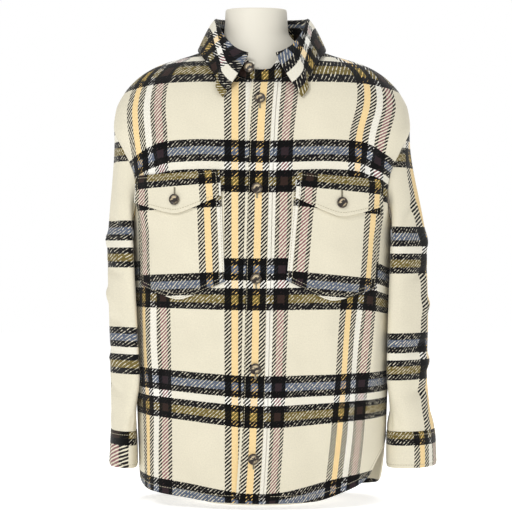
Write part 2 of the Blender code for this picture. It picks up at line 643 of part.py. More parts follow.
def make_button(name, seat, normal):
    """A turned button with a raised rim, seated on the cloth along its normal."""
    dish = BUTTON_THICK * BUTTON_DISH
    profile = [(0.0, 0.0), (BUTTON_RADIUS * 0.80, 0.0), (BUTTON_RADIUS, BUTTON_THICK * 0.45),
               (BUTTON_RADIUS * 0.90, BUTTON_THICK), (BUTTON_RADIUS - BUTTON_RIM, BUTTON_THICK * 0.92),
               (BUTTON_RADIUS * 0.50, dish), (0.0, dish)]
    turns = np.linspace(0, 2 * math.pi, BUTTON_SIDES, endpoint=False)
    points = [(0.0, 0.0, profile[0][1])]
    for radius, height in profile[1:-1]:
        points += [(radius * math.cos(turn), radius * math.sin(turn), height) for turn in turns]
    points.append((0.0, 0.0, profile[-1][1]))
    faces = []
    rings = len(profile) - 2
    for side in range(BUTTON_SIDES):
        beside = (side + 1) % BUTTON_SIDES
        faces.append((0, 1 + beside, 1 + side))
        for ring in range(rings - 1):
            low, high = 1 + ring * BUTTON_SIDES, 1 + (ring + 1) * BUTTON_SIDES
            faces.append((low + side, low + beside, high + beside, high + side))
        last = 1 + (rings - 1) * BUTTON_SIDES
        faces.append((last + side, last + beside, len(points) - 1))
    button = mesh_object(name, points, faces, BUTTON_HORN)
    up = np.array([0, 0, 1.0])
    sideways = unit(np.cross(up, normal))
    upward = np.cross(normal, sideways)
    axes = np.stack([sideways, upward, normal], axis=1)
    button.location = seat + normal * BUTTON_SEAT
    button.rotation_mode = "QUATERNION"
    button.rotation_quaternion = matrix_turn(axes)
    return button


def matrix_turn(axes):
    """Quaternion of a turn given by its three axes as columns."""
    w = math.sqrt(max(0.0, 1 + axes[0, 0] + axes[1, 1] + axes[2, 2])) / 2
    return (w, (axes[2, 1] - axes[1, 2]) / (4 * w), (axes[0, 2] - axes[2, 0]) / (4 * w),
            (axes[1, 0] - axes[0, 1]) / (4 * w))


def make_front_buttons():
    centre_heights = BODY.place - BODY.values["front_drop"]
    for number in range(BUTTON_COUNT):
        share = number / (BUTTON_COUNT - 1)
        level = float(np.interp(BUTTON_TOP - BUTTON_PITCH * number, centre_heights, BODY.place))
        inset = BUTTON_INSET[0] + (BUTTON_INSET[1] - BUTTON_INSET[0]) * share
        turn = turn_at(level, placket_left(level) + inset)
        normal = body_normal(turn, level)
        seat = body_point(turn, level) + normal * (LAP_GAP + PLACKET_WALL)
        make_button("button_front_%d" % (number + 1), seat, normal)


def make_stand_button():
    across, height = STAND_BUTTON
    turns = np.linspace(STAND_ENDS[1], STAND.place[-1], STAND_TRIES)
    foot, top, outward = stand_lines(turns)
    nearest = int(np.argmin(np.abs(foot[:, 0] - across)))
    low, high = foot[nearest], top[nearest]
    share = (height - low[2]) / (high[2] - low[2])
    rising = unit(high - low)
    sideways = unit(np.cross(rising, outward[nearest]))
    normal = np.cross(sideways, rising)
    make_button("button_stand", low * (1 - share) + high * share, normal)


def make_form():
    turns = np.linspace(-math.pi, math.pi, FORM_COLUMNS, endpoint=False)
    rings = []
    for height in FORM.place:
        half_width, front, back = (FORM.at(name, height) for name in ("half_width", "front", "back"))
        across, depth = oval(turns, half_width, front, back, FORM.at("squareness", height))
        drop = np.where(np.cos(turns) > 0, FORM.at("front_drop", height), FORM.at("back_drop", height))
        drop = drop * np.abs(np.cos(turns)) ** DROP_SHAPE
        rings.append(np.stack([across + FORM.at("shift", height), depth, height - drop], axis=-1))
    points = np.concatenate(rings)
    faces = []
    for ring in range(len(rings) - 1):
        low, high = ring * FORM_COLUMNS, (ring + 1) * FORM_COLUMNS
        for column in range(FORM_COLUMNS):
            beside = (column + 1) % FORM_COLUMNS
            faces.append((low + column, low + beside, high + beside, high + column))
    top = (len(rings) - 1) * FORM_COLUMNS
    faces.append(tuple(reversed(range(FORM_COLUMNS))))
    faces.append(tuple(range(top, top + FORM_COLUMNS)))
    mesh_object("dress_form", points, faces, FORM_IVORY)


def clear_scene():
    for thing in list(bpy.data.objects):
        bpy.data.objects.remove(thing, do_unlink=True)


def main():
    clear_scene()
    root = bpy.data.objects.new("jacket_on_form", None)
    bpy.context.scene.collection.objects.link(root)
    make_fronts()
    make_back()
    make_collar()
    make_front_buttons()
    make_stand_button()
    for side in ("left", "right"):
        make_sleeve(side)
        make_pocket(side)
        make_flap(side)
    make_form()


main()
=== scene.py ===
# Looks of a plaid shirt jacket on a dress form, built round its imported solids
# Metres, +Z up, front towards -Y; left and right are the viewer's
import math

import bpy
import numpy as np
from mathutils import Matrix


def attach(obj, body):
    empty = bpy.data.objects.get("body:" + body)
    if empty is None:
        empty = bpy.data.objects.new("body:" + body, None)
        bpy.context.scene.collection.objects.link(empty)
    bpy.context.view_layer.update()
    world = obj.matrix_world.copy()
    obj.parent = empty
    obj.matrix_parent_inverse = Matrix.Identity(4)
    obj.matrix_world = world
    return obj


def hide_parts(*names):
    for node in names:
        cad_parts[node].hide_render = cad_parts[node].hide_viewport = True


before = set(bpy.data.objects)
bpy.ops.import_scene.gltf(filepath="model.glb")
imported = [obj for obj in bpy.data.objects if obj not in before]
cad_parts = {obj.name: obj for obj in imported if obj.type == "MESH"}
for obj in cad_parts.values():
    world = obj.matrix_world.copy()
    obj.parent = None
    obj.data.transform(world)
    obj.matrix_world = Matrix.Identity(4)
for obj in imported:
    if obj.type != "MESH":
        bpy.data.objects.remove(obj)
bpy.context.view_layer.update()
print("frame loaded:", len(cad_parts), "nodes")

# Where the photograph was taken from: level, at chest height
view = {"place": (-0.0099, -2.8, 0.401), "lens": 119.32, "sensor": 36.0}


def makeCamera():
    data = bpy.data.cameras.new("camera")
    data.lens = view["lens"]
    data.sensor_width = view["sensor"]
    camera = bpy.data.objects.new("camera", data)
    camera.location = view["place"]
    camera.rotation_euler = (math.pi / 2, 0, 0)
    bpy.context.scene.collection.objects.link(camera)
    bpy.context.scene.camera = camera


studio = {
    "floorHalf": 6.0, "floorLevel": -0.0005, "floorColour": (0.93, 0.93, 0.92), "floorRoughness": 0.9,
    "floorGlow": 0.62, "white": (1.0, 1.0, 1.0, 1.0), "worldStrength": 0.43,
    "lamps": [
        # name, place, aim, size, watts
        ("key", (-1.3, -2.3, 2.2), (0.0, 0.0, 0.45), 0.9, 38.0),
        ("fill", (1.9, -2.2, 1.3), (0.0, 0.0, 0.40), 1.8, 9.0),
        ("top", (0.2, 0.3, 2.6), (0.0, 0.0, 0.60), 1.6, 12.0),
        ("rear", (0.7, 2.4, 1.9), (0.0, 0.0, 0.45), 1.4, 26.0),
    ]}


def makeStudio():
    # flat floor
    edges = np.array([-studio["floorHalf"], studio["floorHalf"]])
    grid = np.zeros((2, 2, 3))
    grid[..., 0] = edges
    grid[..., 1] = edges[:, None]
    grid[..., 2] = studio["floorLevel"]
    paper = Shade("studio_paper")
    paper.set(Base_Color=(*studio["floorColour"], 1.0), Roughness=studio["floorRoughness"],
              Emission_Color=studio["white"], Emission_Strength=studio["floorGlow"])
    floor = gridObject("studio_floor", grid, paper.material)
    world = bpy.data.worlds.new("studio_white")
    world.use_nodes = True
    background = world.node_tree.nodes["Background"]
    background.inputs["Color"].default_value = studio["white"]
    # white to the camera, dimmer as light
    path = world.node_tree.nodes.new("ShaderNodeLightPath")
    strength = world.node_tree.nodes.new("ShaderNodeMath")
    strength.operation = "MULTIPLY_ADD"
    strength.inputs[1].default_value = 1 - studio["worldStrength"]
    strength.inputs[2].default_value = studio["worldStrength"]
    world.node_tree.links.new(path.outputs["Is Camera Ray"], strength.inputs[0])
    world.node_tree.links.new(strength.outputs[0], background.inputs["Strength"])
    bpy.context.scene.world = world
    bpy.context.scene.view_settings.view_transform = "Standard"
    for name, place, aim, size, watts in studio["lamps"]:
        data = bpy.data.lights.new(name, "AREA")
        data.size = size
        data.energy = watts
        lamp = bpy.data.objects.new(name, data)
        lamp.location = place
        away = np.array(place) - np.array(aim)
        flat = math.hypot(away[0], away[1])
        lamp.rotation_euler = (math.atan2(flat, away[2]), 0.0, math.atan2(away[0], -away[1]))
        bpy.context.scene.collection.objects.link(lamp)


# A socket that takes part in sums; each sum adds its Math node
class Wire:
    def __init__(self, shade, socket):
        self.shade = shade
        self.socket = socket

    def maths(self, operation, *others):
        return self.shade.node("ShaderNodeMath", {"operation": operation}, dict(enumerate((self,) + others)))

    def __add__(self, other): return self.maths("ADD", other)
    def __sub__(self, other): return self.maths("SUBTRACT", other)
    def __rsub__(self, other): return self.shade.number(other).maths("SUBTRACT", self)
    def __mul__(self, other): return self.maths("MULTIPLY", other)
    def __truediv__(self, other): return self.maths("DIVIDE", other)
    def __abs__(self): return self.maths("ABSOLUTE")
    def fract(self): return self.maths("FRACT")
    def sine(self): return self.maths("SINE")
    def power(self, other): return self.maths("POWER", other)
    def log(self): return self.maths("LOGARITHM", math.e)
    def tanh(self): return self.maths("TANH")
    def least(self, other): return self.maths("MINIMUM", other)
    def most(self, other): return self.maths("MAXIMUM", other)

    # soft step from 0 at low to 1 at high
    def step(self, low, high):
        return self.shade.node("ShaderNodeMapRange", {"interpolation_type": "SMOOTHSTEP"},
                               {"Value": self, "From Min": low, "From Max": high}, "Result")


# One material's nodes
class Shade:
    def __init__(self, name):
        self.material = bpy.data.materials.new(name)
        self.material.use_nodes = True
        self.tree = self.material.node_tree
        self.surface = self.tree.nodes["Principled BSDF"]

    # a node by type: settings first, then values or links for its sockets, then the output asked for
    def node(self, kind, settings=None, values=None, output=0):
        made = self.tree.nodes.new(kind)
        for name, setting in (settings or {}).items():
            setattr(made, name, setting)
        for name, value in (values or {}).items():
            if isinstance(value, Wire):
                self.tree.links.new(value.socket, made.inputs[name])
            else:
                made.inputs[name].default_value = value
        return Wire(self, made.outputs[output])

    def number(self, value):
        return self.node("ShaderNodeMath", {"operation": "ADD"}, {0: value, 1: 0.0})

    def set(self, **values):
        for name, value in values.items():
            socket = self.surface.inputs[name.replace("_", " ")]
            if isinstance(value, Wire):
                self.tree.links.new(value.socket, socket)
            else:
                socket.default_value = value

    # colour that holds from each place to the next: rows of (width, colour) over one repeat
    def chart(self, place, rows):
        ramp = self.tree.nodes.new("ShaderNodeValToRGB")
        ramp.color_ramp.interpolation = "CONSTANT"
        whole = sum(width for width, colour in rows)
        start = 0.0
        stops = ramp.color_ramp.elements
        for number, (width, colour) in enumerate(rows):
            stop = stops[0] if number == 0 else stops[1] if number == 1 else stops.new(start / whole)
            stop.position = start / whole
            stop.color = (*linear(colour), 1.0)
            start += width
        self.tree.links.new(place.socket, ramp.inputs[0])
        return Wire(self, ramp.outputs[0])

    def mix(self, share, first, second, blend="MIX"):
        return self.node("ShaderNodeMix", {"data_type": "RGBA", "blend_type": blend},
                         {0: share, 6: first, 7: second}, 2)

    def noise(self, place, scale, detail=2.0, roughness=0.5):
        return self.node("ShaderNodeTexNoise", None,
                         {"Vector": place, "Scale": scale, "Detail": detail, "Roughness": roughness})

    # place in the cut, and its two parts
    def cutPlace(self):
        place = self.node("ShaderNodeUVMap", {"uv_map": "cut"})
        return [place] + [self.node("ShaderNodeSeparateXYZ", None, {0: place}, part) for part in (0, 1)]

    def flat(self, colour):
        wire = self.node("ShaderNodeRGB")
        wire.socket.default_value = (*linear(colour), 1.0)
        return wire

    # a colour made darker by a share
    def dimmed(self, colour, share):
        grey = self.node("ShaderNodeCombineColor", None, {0: share, 1: share, 2: share})
        return self.mix(1.0, colour, grey, "MULTIPLY")


# screen colour 0..255 to the renderer's linear values
def linear(colour):
    share = np.array(colour, float) / 255.0
    return tuple(np.where(share <= 0.04045, share / 12.92, ((share + 0.055) / 1.055) ** 2.4))


def plainMaterial(name, colour, roughness):
    shade = Shade(name)
    shade.set(Base_Color=(*linear(colour), 1.0), Roughness=roughness)
    return shade.material


# Sums used by many pieces
straightUp = np.array([0, 0, 1.0])


def unit(vectors):
    return vectors / np.maximum(np.linalg.norm(vectors, axis=-1, keepdims=True), 1e-12)


# a share held between 0 and 1
def asShare(values):
    return np.clip(values, 0.0, 1.0)


# soft step: three squares less two cubes of the share
def eased(share):
    return share * share * (3 - 2 * share)


# cubic curve from start to finish by way of two handles
def cubic(share, start, second, third, finish):
    rest = 1 - share
    return (rest ** 3 * start + 3 * rest ** 2 * share * second
            + 3 * rest * share ** 2 * third + share ** 3 * finish)


# length along one axis of a grid of points, from its first point
def lengthAlong(points, axis):
    steps = np.linalg.norm(np.diff(points, axis=axis), axis=-1)
    return np.insert(np.cumsum(steps, axis=axis), 0, 0.0, axis=axis)


# a grid read at row and column numbers that need not be whole
def between(grid, row, column):
    low = np.clip(row.astype(int), 0, grid.shape[0] - 2)
    left = np.clip(column.astype(int), 0, grid.shape[1] - 2)
    rise, over = row - low, column - left
    if grid.ndim == 3:
        rise, over = rise[..., None], over[..., None]
    return ((grid[low, left] * (1 - over) + grid[low, left + 1] * over) * (1 - rise)
            + (grid[low + 1, left] * (1 - over) + grid[low + 1, left + 1] * over) * rise)


# a closed grid with its first column again at the end
def withClosing(values):
    return np.concatenate([values, values[:, :1]], axis=1)


# corner numbers of a grid's quads; a closed grid joins its last column to its first
def gridQuads(rows, columns, closed=False):
    across = np.arange(columns if closed else columns - 1)
    row, column = np.meshgrid(np.arange(rows - 1), across, indexing="ij")
    beside = (column + 1) % columns
    return np.stack([row * columns + column, row * columns + beside,
                     (row + 1) * columns + beside, (row + 1) * columns + column], axis=-1).reshape(-1, 4)


# the same corners in the cut's own grid, which has one more column where the grid is closed
def cutQuads(rows, columns, closed=False):
    return gridQuads(rows, columns + 1 if closed else columns)


def meshObject(name, points, quads, material, cornerCut=None):
    mesh = bpy.data.meshes.new(name)
    mesh.vertices.add(len(points))
    mesh.vertices.foreach_set("co", np.asarray(points, np.float32).ravel())
    mesh.loops.add(quads.size)
    mesh.loops.foreach_set("vertex_index", quads.astype(np.int32).ravel())
    mesh.polygons.add(len(quads))
    mesh.polygons.foreach_set("loop_start", np.arange(0, quads.size, 4, dtype=np.int32))
    mesh.update(calc_edges=True)
    mesh.validate()
    if cornerCut is not None:
        layer = mesh.uv_layers.new(name="cut")
        layer.data.foreach_set("uv", np.asarray(cornerCut, np.float32).ravel())
    mesh.shade_smooth()
    mesh.materials.append(material)
    thing = bpy.data.objects.new(name, mesh)
    bpy.context.scene.collection.objects.link(thing)
    return thing


def gridObject(name, grid, material):
    rows, columns = grid.shape[:2]
    return meshObject(name, grid.reshape(-1, 3), gridQuads(rows, columns), material)


wallRim = {"segments": 2, "angle": math.radians(50)}


# Closed cloth wall: an outer and an inner grid, joined along their edges by a rounded rim.
# cut holds each point's place in the flat cloth, in metres.
def wallObject(name, outer, inner, cut, material, closed, rimWidth):
    rows, columns = outer.shape[:2]
    count = rows * columns
    quads = gridQuads(rows, columns, closed)
    cuts = cutQuads(rows, columns, closed)
    rowStart = np.arange(columns if closed else columns - 1)
    beside = (rowStart + 1) % columns
    top = (rows - 1) * columns
    wide = columns + 1 if closed else columns
    cutTop = (rows - 1) * wide
    cutBeside = rowStart + 1
    faces = [quads, count + quads[:, ::-1],
             np.stack([beside, rowStart, count + rowStart, count + beside], axis=-1),
             np.stack([top + rowStart, top + beside, count + top + beside, count + top + rowStart], axis=-1)]
    places = [cuts, cuts[:, ::-1], np.stack([cutBeside, rowStart, rowStart, cutBeside], axis=-1),
              cutTop + np.stack([rowStart, cutBeside, cutBeside, rowStart], axis=-1)]
    if not closed:
        first = np.arange(rows - 1) * columns
        above = first + columns
        last = first + columns - 1
        lastAbove = last + columns
        faces += [np.stack([first, above, count + above, count + first], axis=-1),
                  np.stack([lastAbove, last, count + last, count + lastAbove], axis=-1)]
        places += [np.stack([first, above, above, first], axis=-1),
                   np.stack([lastAbove, last, last, lastAbove], axis=-1)]
    faces = np.concatenate(faces)
    places = np.concatenate(places)
    along = outer[:-1, 1:] - outer[:-1, :-1]
    up = outer[1:, :-1] - outer[:-1, :-1]
    if np.sum(np.cross(along, up) * (outer - inner)[:-1, :-1]) < 0:
        faces, places = faces[:, ::-1], places[:, ::-1]
    points = np.concatenate([outer.reshape(-1, 3), inner.reshape(-1, 3)])
    thing = meshObject(name, points, faces, material, cut.reshape(-1, 2)[places.ravel()])
    bevel = thing.modifiers.new("rounded edge", "BEVEL")
    bevel.width = rimWidth
    bevel.segments = wallRim["segments"]
    bevel.limit_method = "ANGLE"
    bevel.angle_limit = wallRim["angle"]
    return thing


# normals of a grid, by steps along its columns and rows
def gridNormals(grid, closed=False):
    if closed:
        around = np.roll(grid, -1, axis=1) - np.roll(grid, 1, axis=1)
    else:
        around = np.gradient(grid, axis=1)
    return unit(np.cross(around, np.gradient(grid, axis=0)))


# Rows of named columns read by a smooth curve that never overshoots a row
class Table:
    def __init__(self, columns, rows):
        self.values = dict(zip(columns.split(), np.array(rows, float).T))
        self.place = np.array(rows, float)[:, 0]

    def at(self, name, place):
        knots, heights = self.place, self.values[name]
        place = np.clip(np.asarray(place, float), knots[0], knots[-1])
        steps = np.diff(knots)
        rises = np.diff(heights) / steps
        slopes = np.zeros_like(heights)
        same = rises[:-1] * rises[1:] > 0
        both = np.where(same, rises[:-1] + rises[1:], 1.0)
        slopes[1:-1] = np.where(same, 2 * rises[:-1] * rises[1:] / both, 0.0)
        slopes[0], slopes[-1] = rises[0], rises[-1]
        span = np.clip(np.searchsorted(knots, place, side="right") - 1, 0, len(steps) - 1)
        width = steps[span]
        t = (place - knots[span]) / width
        return ((1 + 2 * t) * (1 - t) ** 2 * heights[span] + t * (1 - t) ** 2 * width * slopes[span]
                + t ** 2 * (3 - 2 * t) * heights[span + 1] + t ** 2 * (t - 1) * width * slopes[span + 1])


# The jacket's body: a squared oval at each level, as in its solids
body = {
    "neckLevel": 0.742, "tipLevel": 0.612, "armpitLevel": 0.445, "hemLevel": 0.010, "hemBlend": 0.160,
    "armholeReach": 0.062, "seamGap": 0.0004, "cloth": 0.0024, "dropShape": 1.5,
    # steps to either side for normals
    "levelStep": 0.002, "turnStep": 0.01,
    # rows of a panel's hem, side, armhole and shoulder; creases fade this near a panel's edge
    "panelRows": (34, 58, 46, 44), "edgeFade": 0.012,
    "creaseShare": 1.45, "creaseTaper": 1.3, "creaseStart": 0.75, "creaseWiden": 0.5,
    "rings": Table("level halfWidth front back frontDrop backDrop squareness", [
        (0.000, 0.2000, 0.126, 0.126, 0.000, 0.000, 2.35), (0.150, 0.2055, 0.127, 0.126, 0.000, 0.000, 2.35),
        (0.300, 0.2110, 0.127, 0.125, 0.000, 0.000, 2.35), (0.420, 0.2120, 0.126, 0.124, 0.000, 0.000, 2.40),
        (0.480, 0.2125, 0.125, 0.123, 0.001, 0.000, 2.55), (0.530, 0.2180, 0.124, 0.122, 0.004, 0.001, 2.70),
        (0.575, 0.2325, 0.121, 0.120, 0.010, 0.003, 2.85), (0.612, 0.2430, 0.117, 0.117, 0.017, 0.005, 3.00),
        (0.640, 0.2395, 0.113, 0.114, 0.024, 0.006, 3.00), (0.668, 0.2260, 0.109, 0.110, 0.031, 0.007, 2.90),
        (0.690, 0.2070, 0.105, 0.106, 0.038, 0.007, 2.80), (0.705, 0.1870, 0.101, 0.102, 0.044, 0.006, 2.70),
        (0.718, 0.1600, 0.097, 0.097, 0.050, 0.004, 2.50), (0.730, 0.1200, 0.092, 0.088, 0.056, 0.000, 2.35),
        (0.742, 0.0860, 0.087, 0.074, 0.062, -0.006, 2.20)]),
    # the largest folds, which the solids have too: turn at the top and foot, spread, levels, height
    "folds": [
        (-50, -57, 11, 0.34, -0.32, 0.0050), (-30, -33, 8, 0.28, -0.26, -0.0035),
        (44, 50, 11, 0.36, -0.34, 0.0050), (24, 27, 8, 0.28, -0.26, -0.0030),
        (116, 112, 12, 0.40, -0.38, 0.0060), (146, 150, 12, 0.44, -0.42, -0.0060),
        (-118, -114, 12, 0.42, -0.40, 0.0055), (-150, -146, 13, 0.40, -0.38, -0.0065)],
    "hem": Table("turn left right", [
        (0, 0.0100, 0.0100), (20, 0.0125, 0.0120), (38, 0.0190, 0.0280), (54, 0.0240, 0.0490),
        (64, 0.0265, 0.0720), (77, 0.0350, 0.0940), (90, 0.0560, 0.1050), (97, 0.0420, 0.0600),
        (105, 0.0270, 0.0300), (114, 0.0190, 0.0200), (140, 0.0130, 0.0130), (180, 0.0100, 0.0100)]),
}


# squared oval: sine and cosine of the turn to the power two over squareness, times width and depth
def oval(turn, halfWidth, front, back, squareness):
    power = 2.0 / squareness
    across = halfWidth * np.sign(np.sin(turn)) * np.abs(np.sin(turn)) ** power
    depth = np.where(np.cos(turn) > 0, front, back)
    return across, -depth * np.sign(np.cos(turn)) * np.abs(np.cos(turn)) ** power


# each fold is a bell across its line, times a squared sine along it
def foldHeight(turn, level):
    total = np.zeros(np.broadcast(turn, level).shape)
    for turnTop, turnFoot, spread, top, foot, height in body["folds"]:
        along = asShare((top - level) / (top - foot))
        centre = np.radians(turnTop + (turnFoot - turnTop) * along)
        bell = np.exp(-((turn - centre) / np.radians(spread)) ** 2)
        total = total + height * np.sin(np.pi * along) ** 2 * bell
    return total


# the oval at a level, lowered at the centre front and back, with the folds laid on it
def bodyPoint(turn, level):
    turn, level = np.broadcast_arrays(np.asarray(turn, float), np.asarray(level, float))
    rings = body["rings"]
    sizes = [rings.at(name, level) for name in ("halfWidth", "front", "back", "squareness")]
    across, depth = oval(turn, *sizes)
    drop = np.where(np.cos(turn) > 0, rings.at("frontDrop", level), rings.at("backDrop", level))
    height = level - drop * np.abs(np.cos(turn)) ** body["dropShape"]
    fold = foldHeight(turn, level)
    return np.stack([across + fold * np.sin(turn), depth - fold * np.cos(turn), height], axis=-1)


# cross of a small step round and a small step up
def bodyNormal(turn, level):
    low = np.maximum(level - body["levelStep"], 0.0)
    high = np.minimum(level + body["levelStep"], body["neckLevel"])
    step = body["turnStep"]
    return unit(np.cross(bodyPoint(turn + step, level) - bodyPoint(turn - step, level),
                         bodyPoint(turn, high) - bodyPoint(turn, low)))


# Distance round the body from the centre front, worked out once for many levels and turns
dense = {"turns": 1441, "levels": 372, "halvings": 28, "lastShort": 1.001}
denseTurns = np.linspace(-math.pi, math.pi, dense["turns"])
denseLevels = np.linspace(0.0, body["neckLevel"], dense["levels"])
ringPoints = bodyPoint(denseTurns[None, :], denseLevels[:, None])
girth = lengthAlong(ringPoints, 1)
girth = girth - girth[:, [len(denseTurns) // 2]]


# girth read between its rows and columns
def distanceAt(turn, level):
    row = np.asarray(level) / denseLevels[1]
    column = (np.asarray(turn) + math.pi) / (denseTurns[1] - denseTurns[0])
    return between(girth, np.clip(row, 0, len(denseLevels) - dense["lastShort"]),
                   np.clip(column, 0, len(denseTurns) - dense["lastShort"]))


# turn at a distance, by halving; distances past the centre back go on round the other side
def turnAt(level, distance):
    level, distance = np.broadcast_arrays(np.asarray(level, float), np.asarray(distance, float))
    farthest = distanceAt(np.full(level.shape, math.pi), level)
    distance = np.where(distance > farthest, distance - 2 * farthest, distance)
    low, high = np.full(level.shape, -math.pi), np.full(level.shape, math.pi)
    for step in range(dense["halvings"]):
        middle = (low + high) / 2
        short = distanceAt(middle, level) < distance
        low, high = np.where(short, middle, low), np.where(short, high, middle)
    return (low + high) / 2


def hemLevel(turn):
    side = np.degrees(np.abs(turn))
    return np.where(turn < 0, body["hem"].at("left", side), body["hem"].at("right", side))


armholeMiddle = (body["armpitLevel"] + body["tipLevel"]) / 2
armholeHalf = (body["tipLevel"] - body["armpitLevel"]) / 2


# half an ellipse between armpit and shoulder point
def armholeReach(level):
    share = np.clip((level - armholeMiddle) / armholeHalf, -1.0, 1.0)
    return body["armholeReach"] * np.sqrt(1.0 - share ** 2)


# edge of a panel at the side seam, armhole and shoulder seam; ahead is 1 in front, -1 behind
def armholeEdge(level, side, ahead):
    return (distanceAt(np.full(np.shape(level), side * math.pi / 2), level)
            - side * ahead * (armholeReach(level) + body["seamGap"] / 2))


# levels of a panel's rows, close together where the armhole turns
def panelLevels():
    hemRows, sideRows, armholeRows, shoulderRows = body["panelRows"]
    return np.concatenate([np.linspace(body["hemLevel"], body["hemBlend"], hemRows)[:-1],
                           np.linspace(body["hemBlend"], body["armpitLevel"], sideRows)[:-1],
                           armholeMiddle - armholeHalf * np.cos(np.linspace(0, math.pi, armholeRows)),
                           np.linspace(body["tipLevel"], body["neckLevel"], shoulderRows)[1:]])


# soft creases: each a bell across a bent line from start to end, wider towards its end, times a power of
# a sine along it
def creaseHeight(across, height, creases):
    total = np.zeros(np.broadcast(across, height).shape)
    for startAcross, startHeight, endAcross, endHeight, width, depth, bend in creases:
        lengthAcross, lengthHeight = endAcross - startAcross, endHeight - startHeight
        length = math.hypot(lengthAcross, lengthHeight)
        along = ((across - startAcross) * lengthAcross + (height - startHeight) * lengthHeight) / length ** 2
        aside = ((across - startAcross) * -lengthHeight + (height - startHeight) * lengthAcross) / length
        inside = asShare(along)
        aside = aside - bend * 4 * inside * (1 - inside)
        taper = np.sin(np.pi * inside) ** body["creaseTaper"]
        spread = width * (body["creaseStart"] + body["creaseWiden"] * inside)
        total = total + body["creaseShare"] * depth * taper * np.exp(-(aside / spread) ** 2)
    return total


# Brushed twill plaid. Warp stripes run left to right and weft bands from the top down, in millimetres.
yarn = {
    "cream": (225, 218, 196), "ivory": (242, 240, 231), "black": (14, 13, 16), "yellow": (246, 205, 122),
    "dusk": (34, 28, 30), "rose": (136, 92, 96), "slate": (86, 95, 112), "mustard": (108, 94, 48)}
plaid = {
    "warp": [(11.0, "black"), (11.0, "yellow"), (10.5, "black"), (11.5, "ivory"), (7.0, "dusk"),
             (11.5, "rose"), (7.0, "dusk"), (92.0, "cream")],
    "weft": [(11.0, "black"), (12.5, "slate"), (11.0, "black"), (12.5, "ivory"), (11.0, "black"),
             (12.5, "mustard"), (11.0, "black"), (104.1, "cream")],
    "twillPitch": 0.0062, "twillSoft": 0.18, "darkShare": 0.56, "weftShare": 0.33, "contrast": 0.55,
    "speck": 1.9, "speckScale": 215.0, "deepShare": 0.34, "blend": 0.35, "clear": 1.6, "leastGrey": 0.004,
    "crossFrom": 0.34, "crossTo": 0.10, "crossDark": 0.93, "fuzz": 0.0011, "slantFuzz": 0.5,
    "napScale": 420.0, "fibreScale": 1500.0, "cloudScale": 14.0,
    # tone of nap and cloud: by how much, from where; then the painted shade in the twill's grooves
    "napShade": (0.26, 0.87), "cloudShade": (0.14, 0.93), "grooveShade": 0.10,
    "ridgeHeight": 0.00035, "napHeight": 0.00030, "bump": 0.6,
    "roughness": 0.95, "sheen": 0.12, "sheenRoughness": 0.5, "specular": 0.15}
plaid["warpRepeat"] = sum(width for width, name in plaid["warp"]) / 1000
plaid["weftRepeat"] = sum(width for width, name in plaid["weft"]) / 1000


# colour is weft where a slanting sine of the place in the cut, with some noise, passes a limit, else warp;
# the limit follows the log of weft over warp brightness, so the darker yarn shows more, partly for its
# brushed fibres and partly as painted shade between the yarns; yarns of like brightness blend, and two
# dark yarns are darker still. Fibre and nap noise fray the borders.
def plaidTwill():
    shade = Shade("plaid_twill")
    place, u, v = shade.cutPlace()
    nap = shade.noise(place, plaid["napScale"], 3.0, 0.6)
    fibre = shade.noise(place, plaid["fibreScale"], 1.0)
    cloud = shade.noise(place, plaid["cloudScale"], 3.0)
    fray = (fibre - 0.5) * (2 * plaid["fuzz"]) + (nap - 0.5) * plaid["fuzz"]
    rows = {name: [(width, yarn[colour]) for width, colour in plaid[name]] for name in ("warp", "weft")}
    warp = shade.chart(((u + fray) / plaid["warpRepeat"]).fract(), rows["warp"])
    weft = shade.chart(((v + fray) / plaid["weftRepeat"]).fract(), rows["weft"])
    slant = ((u + v + fray * plaid["slantFuzz"]) * (2 * math.pi / plaid["twillPitch"])).sine()
    weftGrey = shade.node("ShaderNodeRGBToBW", None, {0: weft}) + plaid["leastGrey"]
    warpGrey = shade.node("ShaderNodeRGBToBW", None, {0: warp}) + plaid["leastGrey"]
    paler = ((weftGrey / warpGrey).log() * plaid["contrast"]).tanh()
    speck = (shade.noise(place, plaid["speckScale"], 1.0) - 0.5) * plaid["speck"]
    # the darker yarn shows more: partly its brushed fibres, partly painted shade between the yarns
    deep = (1 - weftGrey.most(warpGrey)) * plaid["deepShare"] + plaid["darkShare"]
    over = (slant + speck - paler * deep + plaid["weftShare"]).step(-plaid["twillSoft"], plaid["twillSoft"])
    over = (over - plaid["blend"]) * (abs(paler) * plaid["clear"]).least(1.0) + plaid["blend"]
    # groove: painted shade where warp meets weft, deepest halfway between them; both darkens where two dark
    # yarns cross, as the cloth's own colour
    groove = 1 - abs(over * 2 - 1)
    both = 1 - weftGrey.most(warpGrey).step(plaid["crossTo"], plaid["crossFrom"])
    lit = (1 - groove * plaid["grooveShade"]) * (1 - both * plaid["crossDark"])
    for noise, (much, least) in ((nap, plaid["napShade"]), (cloud, plaid["cloudShade"])):
        lit = lit * (noise * much + least)
    shade.set(Base_Color=shade.dimmed(shade.mix(over, warp, weft), lit), Roughness=plaid["roughness"],
              Sheen_Weight=plaid["sheen"], Sheen_Roughness=plaid["sheenRoughness"],
              Specular_IOR_Level=plaid["specular"])
    height = (1 - groove) * plaid["ridgeHeight"] + nap * plaid["napHeight"]
    bump = shade.node("ShaderNodeBump", None, {"Strength": plaid["bump"], "Distance": 1.0, "Height": height})
    shade.set(Normal=bump)
    return shade.material


makeCamera()
makeStudio()
cloth = plaidTwill()
print("studio and cloth ready")

